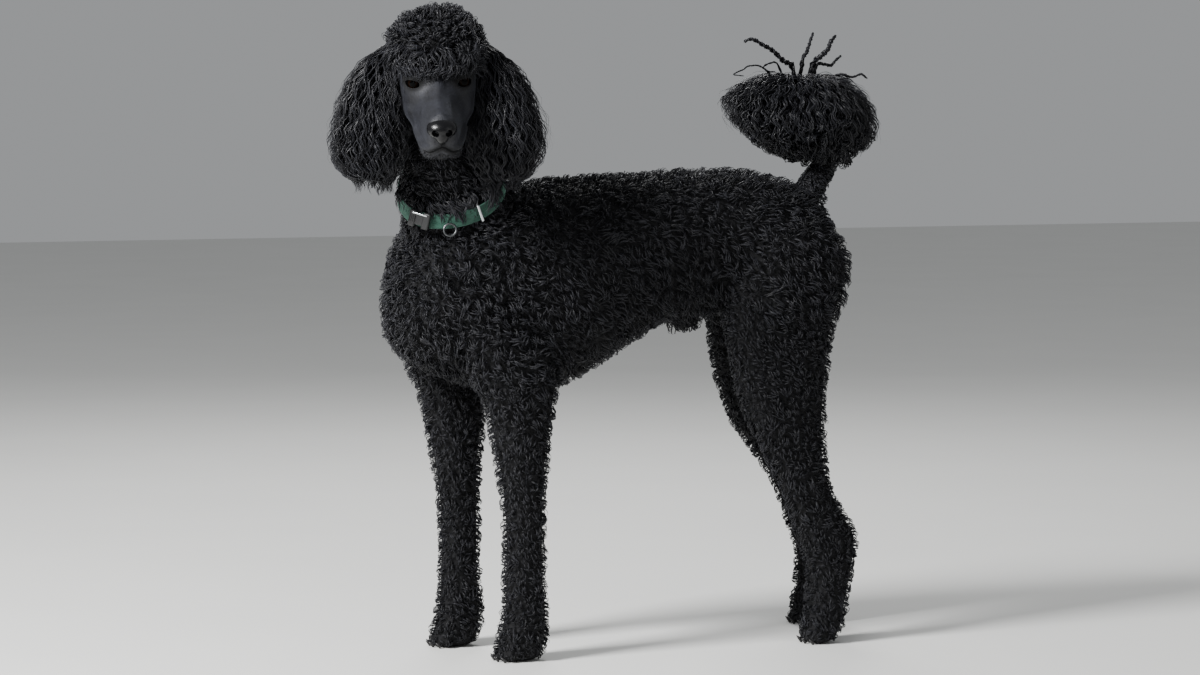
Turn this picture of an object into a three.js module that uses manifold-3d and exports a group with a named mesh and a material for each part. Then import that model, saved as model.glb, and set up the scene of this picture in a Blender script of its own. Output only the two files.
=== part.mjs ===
// A standing standard poodle at life size, in millimetres: +Z up, chest towards -X, left side towards -Y.
// The origin is on the floor, under the middle of its outline. The head is turned to the dog's left.
// The face and the root of the tail are clipped close. The rest of the coat is curly, with long hair on
// the ears and in a ball on the tail. Each size is out to the tips of the coat, and forms under the coat
// are drawn in from there.
import * as THREE from "three";
import { mergeVertices } from "three/addons/utils/BufferGeometryUtils.js";
import { MeshSurfaceSampler } from "three/addons/math/MeshSurfaceSampler.js";
import Module from "manifold-3d";

const wasm = await Module();
wasm.setup();

// Driving sizes
const GAP = 0.3; // between neighbouring pieces
const CLEAR = 0.55; // added all round a form to cut another piece clear of it
const CURL_DEPTH = 13; // the outer half of the coat, which the clumps of curls fill
const LEFT = -1; // the side of the dog towards -Y
const RIGHT = 1;
const RIGHT_FORE_STEP = -38; // the right forefoot stands this far ahead of the left
const RIGHT_THIGH_STEP = 38; // the right thigh stands this far behind the left
const RIGHT_HIND_STEP = 62; // and the right hind foot this far
const HEAD_PLACE = { x: -262, y: -85, z: 766 }; // the middle of the skull
const HEAD_TURN = THREE.MathUtils.degToRad(-107.3); // where the nose points, from +X seen from above
const HEAD_NOD = THREE.MathUtils.degToRad(19);
const HEAD_ROLL = THREE.MathUtils.degToRad(2);
const { smoothstep, lerp, mapLinear } = THREE.MathUtils;
const random = THREE.MathUtils.seededRandom;
random(8);
const vary = (share) => 1 + share * (2 * random() - 1);

// A closed geometry as a solid, and a solid as a geometry
function solidOf(geometry) {
  const bare = geometry.clone();
  bare.deleteAttribute("normal");
  bare.deleteAttribute("uv");
  const merged = mergeVertices(bare, 1e-3);
  const mesh = new wasm.Mesh({
    numProp: 3,
    vertProperties: merged.attributes.position.array,
    triVerts: new Uint32Array(merged.index.array),
  });
  return new wasm.Manifold(mesh);
}

function geometryOf(solid) {
  const mesh = solid.getMesh();
  const position = new Float32Array(mesh.numVert * 3);
  for (let i = 0; i < mesh.numVert; i += 1)
    position.set(mesh.vertProperties.subarray(i * mesh.numProp, i * mesh.numProp + 3), i * 3);
  return new THREE.BufferGeometry()
    .setAttribute("position", new THREE.BufferAttribute(position, 3))
    .setIndex(new THREE.BufferAttribute(mesh.triVerts, 1));
}

const united = (solids) => wasm.Manifold.union(solids);

function largest(solid) {
  const bodies = solid.decompose();
  return bodies.reduce((a, b) => (b.volume() > a.volume() ? b : a));
}

// A geometry of these points and faces, turned to face outward
function outward(points, faces) {
  let volume = 0;
  for (let i = 0; i < faces.length; i += 3)
    volume += points[faces[i]].dot(points[faces[i + 1]].clone().cross(points[faces[i + 2]]));
  if (volume < 0) faces.reverse();
  return new THREE.BufferGeometry().setFromPoints(points).setIndex(faces);
}

// The faces between rings of points, each ring with this many sides
function wall(rings, sides, closes = false) {
  const faces = [];
  const at = (i, j) => (i % rings) * sides + (j % sides);
  for (let i = 0; i < rings - (closes ? 0 : 1); i += 1)
    for (let j = 0; j < sides; j += 1) {
      faces.push(at(i, j), at(i, j + 1), at(i + 1, j + 1));
      faces.push(at(i, j), at(i + 1, j + 1), at(i + 1, j));
    }
  return faces;
}

// A closed skin over rings of points, with each end drawn to its middle
function skinOf(points, sides) {
  const rings = points.length / sides;
  const faces = wall(rings, sides);
  const middle = (i) =>
    points
      .slice(i * sides, (i + 1) * sides)
      .reduce((sum, p) => sum.add(p), new THREE.Vector3())
      .divideScalar(sides);
  const first = points.length;
  const last = first + 1;
  const edge = (rings - 1) * sides;
  for (let j = 0; j < sides; j += 1) {
    const next = (j + 1) % sides;
    faces.push(first, next, j);
    faces.push(last, edge + j, edge + next);
  }
  return outward([...points, middle(0), middle(rings - 1)], faces);
}

// The sizes at share t of the way down a table of rows, on a smooth curve
function rowAt(rows, t) {
  const row = {};
  for (const key of Object.keys(rows[0]))
    row[key] = new THREE.SplineCurve(rows.map((r, i) => new THREE.Vector2(i, r[key]))).getPoint(t).y;
  return row;
}

// A closed skin through a table of rows: place(row, cosine, sine) gives the points of each ring
function loft(rows, rings, sides, power, place) {
  const points = [];
  for (let i = 0; i < rings; i += 1) {
    const row = rowAt(rows, i / (rings - 1));
    for (let j = 0; j < sides; j += 1) {
      const [c, s] = rounded((2 * Math.PI * j) / sides, power);
      points.push(place(row, c, s));
    }
  }
  return skinOf(points, sides);
}

// The cosine and sine on a circle at power 1, or on a squarer ring below that
function rounded(angle, power) {
  return [Math.cos(angle), Math.sin(angle)].map((x) => Math.sign(x) * Math.abs(x) ** power);
}

// A round tube through points, with the radius at each share of its length
function tube(path, radius, rings, sides) {
  const curve = new THREE.CatmullRomCurve3(path.map((p) => new THREE.Vector3(...p)));
  const frames = curve.computeFrenetFrames(rings - 1);
  const points = [];
  for (let i = 0; i < rings; i += 1)
    for (let j = 0; j < sides; j += 1) {
      const angle = (2 * Math.PI * j) / sides;
      const share = i / (rings - 1);
      points.push(
        curve
          .getPointAt(share)
          .addScaledVector(frames.normals[i], radius(share) * Math.cos(angle))
          .addScaledVector(frames.binormals[i], radius(share) * Math.sin(angle)),
      );
    }
  return skinOf(points, sides);
}

// All of space on the side of a plane that its normal points to
const ALL = 2000;

function halfSpace({ point, normal }, gap) {
  const up = new THREE.Vector3(...normal).normalize();
  const turn = new THREE.Quaternion().setFromUnitVectors(new THREE.Vector3(0, 0, 1), up);
  const place = new THREE.Vector3(...point).addScaledVector(up, gap + ALL / 2);
  return solidOf(new THREE.BoxGeometry(ALL, ALL, ALL).applyQuaternion(turn).translate(...place.toArray()));
}

const within = (planes, gap) =>
  planes.map((plane) => halfSpace(plane, gap)).reduce((a, b) => a.intersect(b));

// Trunk: upright sections from the breastbone to the buttocks
const TRUNK = [
  { x: -293, top: 505, bottom: 430, side: 30 },
  { x: -285, top: 548, bottom: 405, side: 62 },
  { x: -258, top: 590, bottom: 384, side: 88 },
  { x: -208, top: 618, bottom: 362, side: 105 },
  { x: -145, top: 634, bottom: 349, side: 114 },
  { x: -80, top: 640, bottom: 347, side: 116 },
  { x: -20, top: 643, bottom: 374, side: 113 },
  { x: 40, top: 645, bottom: 410, side: 104 },
  { x: 100, top: 648, bottom: 436, side: 94 },
  { x: 155, top: 650, bottom: 440, side: 90 },
  { x: 210, top: 648, bottom: 442, side: 92 },
  { x: 260, top: 638, bottom: 452, side: 88 },
  { x: 304, top: 617, bottom: 475, side: 72 },
  { x: 327, top: 580, bottom: 500, side: 40 },
];
const TRUNK_WIDEST = 0.52; // height of the ribs' widest line, as a share of the depth

function trunk(coat) {
  return loft(TRUNK, 14, 12, 0.9, (row, c, s) => {
    const widest = lerp(row.bottom, row.top, TRUNK_WIDEST);
    const reach = (s > 0 ? row.top - widest : widest - row.bottom) - coat;
    return new THREE.Vector3(row.x, (row.side - coat) * c, widest + reach * s);
  });
}

// Legs: level sections from the shoulder or hip down to the sole
const FRONT_LEG = [
  { z: 480, front: -262, back: -122, y: 62, side: 40 },
  { z: 425, front: -236, back: -90, y: 70, side: 42 },
  { z: 375, front: -212, back: -84, y: 75, side: 42 },
  { z: 330, front: -197, back: -92, y: 77, side: 41 },
  { z: 290, front: -189, back: -98, y: 77, side: 39 },
  { z: 240, front: -179, back: -103, y: 76, side: 37 },
  { z: 180, front: -173, back: -104, y: 75, side: 35 },
  { z: 110, front: -173, back: -104, y: 75, side: 35 },
  { z: 60, front: -175, back: -100, y: 75, side: 36 },
  { z: 24, front: -183, back: -102, y: 75, side: 38 },
  { z: 0, front: -184, back: -108, y: 75, side: 34 },
];
const HIND_LEG = [
  { z: 600, front: 218, back: 292, y: 38, side: 28 },
  { z: 560, front: 182, back: 326, y: 54, side: 48 },
  { z: 515, front: 160, back: 347, y: 60, side: 52 },
  { z: 460, front: 148, back: 330, y: 66, side: 50 },
  { z: 410, front: 149, back: 314, y: 72, side: 46 },
  { z: 360, front: 160, back: 307, y: 78, side: 43 },
  { z: 310, front: 177, back: 301, y: 82, side: 39 },
  { z: 265, front: 199, back: 301, y: 84, side: 36 },
  { z: 225, front: 219, back: 307, y: 85, side: 34 },
  { z: 180, front: 237, back: 328, y: 85, side: 33 },
  { z: 145, front: 250, back: 350, y: 85, side: 34 },
  { z: 105, front: 263, back: 346, y: 85, side: 33 },
  { z: 60, front: 265, back: 336, y: 85, side: 34 },
  { z: 24, front: 258, back: 328, y: 85, side: 36 },
  { z: 0, front: 259, back: 318, y: 85, side: 33 },
];
const foreStep = (z) => RIGHT_FORE_STEP * smoothstep(500 - z, 0, 110);
const hindStep = (z) =>
  RIGHT_THIGH_STEP * smoothstep(500 - z, 0, 80) +
  (RIGHT_HIND_STEP - RIGHT_THIGH_STEP) * smoothstep(320 - z, 0, 130);
const noStep = () => 0;

function leg(rows, rings, sideways, step, coat) {
  return loft(rows, rings, 8, 0.95, (row, c, s) => {
    const middle = (row.front + row.back) / 2 + step(row.z);
    const deep = (row.back - row.front) / 2 - coat;
    return new THREE.Vector3(middle + deep * c, sideways * row.y + (row.side - coat) * s, row.z);
  });
}

const legs = (coat) => [
  leg(FRONT_LEG, 11, LEFT, noStep, coat),
  leg(FRONT_LEG, 11, RIGHT, foreStep, coat),
  leg(HIND_LEG, 14, LEFT, noStep, coat),
  leg(HIND_LEG, 14, RIGHT, hindStep, coat),
];

// Toes: four at the front of each foot, half out of the hair
const TOE = { long: 15, wide: 9, high: 10, apart: 15, inset: 9 };

function toes(rows, sideways, step) {
  const sole = rows[rows.length - 1];
  return [-1.5, -0.5, 0.5, 1.5].map((place) =>
    new THREE.IcosahedronGeometry(1, 0)
      .scale(TOE.long, TOE.wide, TOE.high)
      .translate(
        sole.front + step(0) + TOE.inset + Math.abs(place) * 5,
        sideways * sole.y + place * TOE.apart,
        TOE.high * 0.8,
      ),
  );
}

// Neck: from inside the shoulders up to the skull, bending to the dog's left
const NECK = [
  { x: -150, y: 0, z: 500, wide: 98, deep: 108 },
  { x: -182, y: -3, z: 545, wide: 88, deep: 98 },
  { x: -208, y: -14, z: 590, wide: 74, deep: 80 },
  { x: -228, y: -28, z: 632, wide: 63, deep: 66 },
  { x: -240, y: -38, z: 680, wide: 57, deep: 59 },
  { x: -247, y: -42, z: 725, wide: 50, deep: 52 },
  { x: -249, y: -46, z: 760, wide: 38, deep: 40 },
];
const NECK_LEAN = 0.45; // each section is lower at the throat by this share of its depth

function neckPoint(row, c, s, coat) {
  const back = (row.deep - coat) * c;
  return new THREE.Vector3(row.x + back, row.y + (row.wide - coat) * s, row.z + back * NECK_LEAN);
}

const neck = (coat) => loft(NECK, 8, 12, 1, (row, c, s) => neckPoint(row, c, s, coat));

// Head, in its own frame: +X to the nose, +Y to the dog's left, +Z to the crown
const headMatrix = new THREE.Matrix4()
  .makeTranslation(HEAD_PLACE.x, HEAD_PLACE.y, HEAD_PLACE.z)
  .multiply(new THREE.Matrix4().makeRotationZ(HEAD_TURN))
  .multiply(new THREE.Matrix4().makeRotationY(HEAD_NOD))
  .multiply(new THREE.Matrix4().makeRotationX(HEAD_ROLL));
const inHead = (geometry) => geometry.applyMatrix4(headMatrix);
const ball = (wide, high, x, y, z) => new THREE.SphereGeometry(1, wide, high).scale(x, y, z);

// Skull and upper muzzle, down to the edge of the lips
const SKULL = [
  { x: -84, top: 22, bottom: -14, upper: 16, lower: 16 },
  { x: -74, top: 42, bottom: -36, upper: 34, lower: 32 },
  { x: -48, top: 58, bottom: -52, upper: 47, lower: 44 },
  { x: -12, top: 64, bottom: -58, upper: 52, lower: 46 },
  { x: 22, top: 58, bottom: -60, upper: 53, lower: 45 },
  { x: 42, top: 44, bottom: -60, upper: 51, lower: 43 },
  { x: 56, top: 30, bottom: -58, upper: 45, lower: 41 },
  { x: 68, top: 19, bottom: -54, upper: 36, lower: 40 },
  { x: 88, top: 13, bottom: -50, upper: 29, lower: 38 },
  { x: 112, top: 9, bottom: -49, upper: 26, lower: 36 },
  { x: 134, top: 6, bottom: -46, upper: 24, lower: 32 },
  { x: 147, top: 2, bottom: -42, upper: 20, lower: 26 },
  { x: 154, top: -4, bottom: -36, upper: 13, lower: 17 },
];
const JAW = [
  { x: -10, top: -20, bottom: -56, side: 30 },
  { x: 30, top: -20, bottom: -61, side: 38 },
  { x: 60, top: -26, bottom: -62, side: 38 },
  { x: 90, top: -28, bottom: -62, side: 34 },
  { x: 115, top: -28, bottom: -61, side: 31 },
  { x: 134, top: -28, bottom: -58, side: 26 },
  { x: 146, top: -30, bottom: -52, side: 15 },
];
const MOUTH = [
  [74, 38, -47],
  [94, 36.5, -46],
  [116, 33.5, -45],
  [136, 28, -43],
  [148, 18, -41],
  [153, 0, -38],
];
const MOUTH_GROOVE = 1.6;

function skull(extra = 0) {
  const cranium = loft(SKULL, 15, 12, 0.8, (row, c, s) => {
    const wide = mapLinear(s, -1, 1, row.lower, row.upper) + extra;
    const deep = (row.top - row.bottom) / 2 + extra;
    return new THREE.Vector3(row.x, wide * c, (row.top + row.bottom) / 2 + deep * s);
  });
  const jaw = loft(JAW, 7, 10, 0.85, (row, c, s) => {
    const deep = (row.top - row.bottom) / 2 + extra;
    return new THREE.Vector3(row.x, (row.side + extra) * c, (row.top + row.bottom) / 2 + deep * s);
  });
  return [cranium, jaw].map(inHead);
}

function mouthLine() {
  const across = MOUTH.map(([x, y, z]) => [x, -y, z]).slice(0, -1);
  return inHead(tube([...MOUTH, ...across.reverse()], () => MOUTH_GROOVE, 15, 4));
}

// Topknot: a dome of curls on the skull, down to the brows and the tops of the ears
const TOPKNOT = { x: -8, z: 42, long: 72, wide: 70, high: 58 };

function topknot(coat) {
  const t = TOPKNOT;
  const dome = ball(12, 8, t.long - coat, t.wide - coat, t.high - coat);
  return inHead(dome.rotateZ(0.2).translate(t.x, 0, t.z));
}

// Eyes, each a ball behind two lids
const EYE = { x: 47, y: 30, z: 16, radius: 11, lid: 2.2 };
const LID_OPENING = { long: 30, wide: 10.5, high: 6.5, ahead: 14, aside: 7, turn: 0.45 };
const eyeBall = (sideways, radius) =>
  inHead(ball(10, 7, radius, radius, radius).translate(EYE.x, -sideways * EYE.y, EYE.z));

function lidOpening(sideways) {
  const { long, wide, high, ahead, aside, turn } = LID_OPENING;
  const almond = ball(10, 6, long, wide, high).rotateZ(-sideways * turn);
  return inHead(almond.translate(EYE.x + ahead, -sideways * (EYE.y + aside), EYE.z));
}

// Nose leather, on the front of the muzzle, with two nostrils that run out and back
const NOSE = { x: 146, z: -13, long: 18, wide: 21.5, high: 14 };
const NOSTRIL = { x: 161, y: 8.5, z: -14, radius: 4.2 };

function nose(extra = 0) {
  const leather = ball(12, 7, NOSE.long + extra, NOSE.wide + extra, NOSE.high + extra);
  return inHead(leather.translate(NOSE.x, 0, NOSE.z));
}

function nostril(sideways) {
  const comma = ball(7, 5, 2 * NOSTRIL.radius, NOSTRIL.radius, NOSTRIL.radius * 1.1);
  return inHead(comma.rotateZ(-sideways * 0.7).translate(NOSTRIL.x, -sideways * NOSTRIL.y, NOSTRIL.z));
}

// Tail: a clipped root, which ends inside the ball of hair
const TAIL_ROOT = [
  [292, 0, 585],
  [314, 0, 620],
  [336, 0, 655],
  [338, 0, 700],
];
const tailRoot = (extra = 0) => tube(TAIL_ROOT, (share) => 24 - 7 * share + extra, 7, 10);

// Tail ball: seen from above an oval, thinner and higher towards the back of the dog
const POM = { x: 302, ahead: 118, behind: 104, side: 87, z: 718, drop: 0.13, thin: 50, thicken: 0.12 };

// A point at a share of the way from the middle of the ball to its tips, in this direction
function inPom(direction, share) {
  const x = direction.x * (direction.x < 0 ? POM.ahead : POM.behind);
  const level = POM.z - POM.drop * x;
  const deep = POM.thin + POM.thicken * (x + POM.ahead);
  const at = new THREE.Vector3(x, POM.side * direction.y, deep * direction.z).multiplyScalar(share);
  return at.add(new THREE.Vector3(POM.x, 0, level));
}

// A flat lock of hair: stations of { at, across, out, wide }, the last one its pointed tip
const LOCK_THICK = 0.42; // share of its width

function lock(stations) {
  const points = [];
  for (const { at, across, out, wide } of stations.slice(0, -1)) {
    const thick = wide * LOCK_THICK;
    points.push(
      at.clone().addScaledVector(across, wide),
      at.clone().addScaledVector(out, thick),
      at.clone().addScaledVector(across, -wide),
      at.clone().addScaledVector(out, -thick),
    );
  }
  const rings = points.length / 4;
  const faces = [...wall(rings, 4), 0, 2, 1, 0, 3, 2];
  const tip = points.length;
  for (let j = 0; j < 4; j += 1) faces.push(tip, tip - 4 + j, tip - 4 + ((j + 1) % 4));
  return outward([...points, stations[stations.length - 1].at], faces);
}

// Ears: a leather flap in long hair, as a bell of level sections down from the side of the skull
const EAR = [
  { z: 818, inner: 42, outer: 66, front: 16, back: -28 },
  { z: 800, inner: 40, outer: 94, front: 28, back: -42 },
  { z: 775, inner: 42, outer: 113, front: 38, back: -52 },
  { z: 745, inner: 46, outer: 127, front: 44, back: -58 },
  { z: 715, inner: 48, outer: 136, front: 46, back: -60 },
  { z: 690, inner: 50, outer: 141, front: 46, back: -58 },
  { z: 668, inner: 54, outer: 138, front: 42, back: -54 },
  { z: 646, inner: 62, outer: 124, front: 32, back: -42 },
  { z: 636, inner: 68, outer: 108, front: 20, back: -30 },
];
const EAR_CORE = 0.62; // the packed hair and flap reach this share of the way to the tips
const EAR_CORE_END = 0.82;
const EAR_LOCKS = [
  { count: 9, from: 0, to: 0.94, wide: 18, turn: 0.2 },
  { count: 4, from: 0, to: 0.62, wide: 20, turn: 0.3 },
];
const EAR_CUP = { z: 752, inner: 46, wide: 20, deep: 13, high: 34 };
const levelHead = new THREE.Matrix4()
  .makeTranslation(HEAD_PLACE.x, HEAD_PLACE.y, 0)
  .multiply(new THREE.Matrix4().makeRotationZ(HEAD_TURN));

// A point of the ear at share t of the way down and an angle round it; angle 0 is away from the head
function earPoint(sideways, t, angle, share) {
  const row = rowAt(EAR, t);
  const [c, s] = rounded(angle, 0.9);
  const across = (row.inner + row.outer) / 2 + (share * (row.outer - row.inner) * c) / 2;
  const along = (row.front + row.back) / 2 + (share * (row.front - row.back) * s) / 2;
  return new THREE.Vector3(along, -sideways * across, row.z).applyMatrix4(levelHead);
}

function earLock(sideways, angle, { from, to, wide }) {
  const end = to * vary(0.08);
  const sway = 0.11 * vary(0.6);
  const shares = [0, 0.34, 0.72, 1];
  const widths = [0.7, 1, 0.85, 0];
  return lock(
    shares.map((share, i) => {
      const t = lerp(from, end, share);
      const around = angle + sway * Math.sin(5 * share + 9 * angle);
      const lie = [0.62, 0.86, 0.9, 1][i];
      const at = earPoint(sideways, t, around, lie);
      const out = at.clone().sub(earPoint(sideways, t, around, 0)).setZ(0).normalize();
      return { at, out, across: new THREE.Vector3(-out.y, out.x, 0), wide: wide * widths[i] };
    }),
  );
}

function ear(sideways) {
  const points = [];
  const rings = 5;
  const sides = 8;
  for (let i = 0; i < rings; i += 1)
    for (let j = 0; j < sides; j += 1) {
      const t = (EAR_CORE_END * i) / (rings - 1);
      points.push(earPoint(sideways, t, (2 * Math.PI * j) / sides, EAR_CORE));
    }
  const locks = EAR_LOCKS.flatMap((tier) =>
    Array.from({ length: tier.count }, (_, i) =>
      earLock(sideways, tier.turn + (2 * Math.PI * i) / tier.count, tier),
    ),
  );
  const cup = ball(8, 6, EAR_CUP.deep, EAR_CUP.wide, EAR_CUP.high)
    .rotateZ(Math.PI / 2)
    .translate(0, -sideways * EAR_CUP.inner, EAR_CUP.z)
    .applyMatrix4(levelHead);
  return united([skinOf(points, sides), ...locks].map(solidOf)).subtract(solidOf(cup));
}

// Clumps of curls: low-sided balls, longest along the lie of the coat, with the far end lifted. Each
// corner stands over the nearest place on the core under it, so that a clump follows the form of the body
const LIFT = 0.16;
const SHAPE = { long: 0.95, wide: 0.87, high: 1.85, sink: 0.32, root: 0.9 }; // of spacing, then of depth

function nearest(places, point) {
  const far = (one) => one.point.distanceToSquared(point);
  return places.reduce((best, one) => (far(one) < far(best) ? one : best));
}

function curl({ point, normal, lie, spacing, depth, turn, size, under }, extra = 0) {
  const along = lie.clone().addScaledVector(normal, -lie.dot(normal)).normalize();
  const across = new THREE.Vector3().crossVectors(normal, along);
  const sink = SHAPE.sink * depth;
  const place = new THREE.Matrix4()
    .makeBasis(along, across, normal)
    .setPosition(point.clone().addScaledVector(normal, -sink));
  const long = SHAPE.long * spacing * size;
  const wide = SHAPE.wide * spacing * size;
  const high = SHAPE.high * depth * size;
  const clump = new THREE.IcosahedronGeometry(1, 0).rotateZ(turn).scale(long, wide, high).rotateY(-LIFT);
  const position = clump.attributes.position;
  for (let i = 0; i < position.count; i += 1) {
    const corner = new THREE.Vector3().fromBufferAttribute(position, i);
    const rise = Math.max(corner.z - sink, -SHAPE.root * depth);
    const foot = nearest(under, corner.setZ(0).applyMatrix4(place));
    position.setXYZ(i, ...foot.point.clone().addScaledVector(foot.normal, rise).toArray());
  }
  const larger = new THREE.Matrix4().makeScale(1 + extra / long, 1 + extra / wide, 1 + extra / high);
  return clump.applyMatrix4(place.clone().multiply(larger).multiply(place.clone().invert()));
}

// Sets curls over a core, evenly; coatAt(point) gives their spacing, depth and lie, or nothing
const SAMPLES = 12000;
const ROUNDS = 5;

function curlsOn(core, coatAt) {
  const sampler = new MeshSurfaceSampler(new THREE.Mesh(geometryOf(core).toNonIndexed()));
  sampler.setRandomGenerator(() => random());
  sampler.build();
  const places = [];
  for (let i = 0; i < SAMPLES; i += 1) {
    const point = new THREE.Vector3();
    const normal = new THREE.Vector3();
    sampler.sample(point, normal);
    const coat = coatAt(point);
    if (coat) places.push({ point, normal, ...coat });
  }
  let chosen = [];
  for (const place of places)
    if (!chosen.some((other) => other.point.distanceTo(place.point) < place.spacing)) chosen.push(place);
  for (let round = 0; round < ROUNDS; round += 1) {
    const groups = new Map(chosen.map((one) => [one, []]));
    for (const place of places) groups.get(nearest(chosen, place.point)).push(place);
    chosen = [...groups.values()].map((group) => {
      const sum = group.reduce((total, { point }) => total.add(point), new THREE.Vector3());
      return nearest(group, sum.divideScalar(group.length));
    });
  }
  return chosen.map((one) => ({ ...one, turn: 2 * Math.PI * random(), size: vary(0.07), under: places }));
}

const ANKLE = 22; // no curls lower than this
const BODY_LIE = new THREE.Vector3(0.55, 0, -0.84);
const LEG_LIE = new THREE.Vector3(0.1, 0, -1);
const SPACING = { torso: 77, neck: 60, leg: 56, foot: 46, topknot: 44 };

function bodyCoat(point) {
  if (point.z < ANKLE) return null;
  const high = smoothstep(point.z, 240, 400);
  const low = smoothstep(point.z, 40, 160);
  const forward = smoothstep(-point.x, 200, 250) * smoothstep(point.z, 560, 620);
  const onLimb = lerp(lerp(SPACING.foot, SPACING.leg, low), SPACING.torso, high);
  const spacing = lerp(onLimb, SPACING.neck, forward);
  return { spacing, depth: CURL_DEPTH, lie: high > 0.5 ? BODY_LIE : LEG_LIE };
}

const crown = new THREE.Vector3(TOPKNOT.x, 0, TOPKNOT.z).applyMatrix4(headMatrix);
const BACK_OF_HEAD = -34;

function headCoat(point) {
  const onHead = point.clone().applyMatrix4(headMatrix.clone().invert());
  const overTop = (onHead.x - TOPKNOT.x) ** 2 / TOPKNOT.long ** 2 + onHead.y ** 2 / TOPKNOT.wide ** 2;
  if (onHead.x > BACK_OF_HEAD && (onHead.z < 24 || overTop > 1)) return null;
  const lie = point.clone().sub(crown).setZ(-10).normalize();
  return { spacing: SPACING.topknot, depth: CURL_DEPTH, lie };
}

// Collar: a flat band of webbing that hangs slack round the neck, low on the side the head looks to
const BAND = { wide: 19, thick: 2.4, stations: 24, sink: 3 };
const COLLAR = { x: -232, y: -30, z: 626, fallX: 0.4, fallY: 0.78 };
const BESIDE = 0.4; // from the band to what lies on it
const OVER_BAND = 14; // no coat lies over the band, out to this far

// A point in the coat of the neck under the band, at this share of the way round from the nape
function underBand(share) {
  const angle = 2 * Math.PI * share;
  for (let t = 0.2; t < 1; t += 0.004) {
    const point = neckPoint(rowAt(NECK, t), Math.cos(angle), Math.sin(angle), BAND.sink);
    const level = COLLAR.z + COLLAR.fallX * (point.x - COLLAR.x) + COLLAR.fallY * (point.y - COLLAR.y);
    if (point.z >= level) return point.setZ(level);
  }
  return null;
}

function bandStation(share) {
  const at = underBand(share);
  const along = underBand(share + 0.02).sub(underBand(share - 0.02)).normalize();
  const out = new THREE.Vector3(at.x - COLLAR.x, at.y - COLLAR.y, 0);
  out.addScaledVector(along, -out.dot(along)).normalize();
  const up = new THREE.Vector3().crossVectors(along, out);
  return { at, out, up: up.z < 0 ? up.negate() : up };
}

function band(extra = 0, outward = 0) {
  const high = BAND.wide / 2 + extra;
  const far = BAND.thick + extra + outward;
  const points = Array.from({ length: BAND.stations }, (_, i) => {
    const { at, out, up } = bandStation(i / BAND.stations);
    return [[-extra, -high], [far, -high], [far, high], [-extra, high]].map(([across, rise]) =>
      at.clone().addScaledVector(out, across).addScaledVector(up, rise),
    );
  }).flat();
  return outwardRing(points);
}

const outwardRing = (points) => outward(points, wall(points.length / 4, 4, true));

// Puts a geometry on the band: +X along it, +Y out from the neck, +Z up
function onBand(geometry, share) {
  const { at, out, up } = bandStation(share);
  const along = new THREE.Vector3().crossVectors(out, up);
  const place = at.clone().addScaledVector(out, BAND.thick + BESIDE);
  return geometry.applyMatrix4(new THREE.Matrix4().makeBasis(along, out, up).setPosition(place));
}

const BUCKLE = { share: 0.6, long: 30, thick: 7, high: 22 };
const BUCKLE_END = 10; // the buckle is this long at full height at either end, and narrower between
const BUCKLE_WAIST = 15;
const SLIDER = { share: 0.76, long: 4, thick: 3, high: 24 };
const LEAD_RING = { share: 0.68, radius: 9, wire: 1.6, hang: 13, tip: 0.35 };

function plate({ share, long, thick, high }, extra = 0, along = 0) {
  const block = new THREE.BoxGeometry(long + 2 * extra, thick + 2 * extra, high + 2 * extra);
  return onBand(block.translate(along, thick / 2, 0), share);
}

function buckle(extra = 0) {
  const waist = plate({ ...BUCKLE, high: BUCKLE_WAIST }, extra);
  const ends = [-1, 1].map((end) =>
    plate({ ...BUCKLE, long: BUCKLE_END }, extra, (end * (BUCKLE.long - BUCKLE_END)) / 2),
  );
  return united([waist, ...ends].map(solidOf));
}

function leadRing(extra = 0) {
  const { share, radius, wire, hang, tip } = LEAD_RING;
  const ring = new THREE.TorusGeometry(radius, wire + extra, 5, 12).rotateX(Math.PI / 2 + tip);
  return onBand(ring.translate(0, 4.5, -hang), share);
}

// Tail locks: from the top of the ball outward and down round it, and five long cords on top
const POM_CORE = 0.6;
const POM_LOCKS = [
  { count: 11, from: 0.2, to: 1.75, wide: 28, turn: 0 },
  { count: 7, from: 1.15, to: 2.3, wide: 32, turn: 0.3 },
];

function pomLock(around, { from, to, wide }) {
  const end = to * vary(0.07);
  const sway = 0.1 * vary(0.6);
  const shares = [0, 0.34, 0.7, 1];
  const widths = [0.4, 1, 0.9, 0];
  const reach = [0.6, 0.9, 0.95, 1];
  const place = (share, i) => {
    const angle = around + sway * Math.sin(5 * share + 7 * around);
    const fall = lerp(from, end, share);
    const direction = new THREE.Vector3(
      Math.sin(fall) * Math.cos(angle),
      Math.sin(fall) * Math.sin(angle),
      Math.cos(fall),
    );
    return { at: inPom(direction, reach[i]), middle: inPom(direction, 0) };
  };
  return lock(
    shares.map((share, i) => {
      const { at, middle } = place(share, i);
      const out = at.clone().sub(middle).normalize();
      const along = place(Math.min(1, share + 0.05), i).at.sub(place(Math.max(0, share - 0.05), i).at);
      const across = new THREE.Vector3().crossVectors(out, along).normalize();
      return { at, out, across, wide: wide * widths[i] };
    }),
  );
}

const CORDS = [
  [[292, 0, 740], [284, -2, 781], [262, -4, 798], [238, -6, 813], [213, -4, 819]],
  [[297, 4, 740], [304, 6, 790], [311, 6, 808], [318, 8, 832]],
  [[303, -4, 740], [315, -8, 786], [328, -10, 806], [341, -10, 826]],
  [[308, 4, 738], [328, 12, 782], [348, 14, 790], [362, 14, 798]],
  [[308, -8, 736], [332, -24, 770], [358, -34, 780], [386, -38, 768]],
];
const CORD_RADIUS = 4.2;

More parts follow.
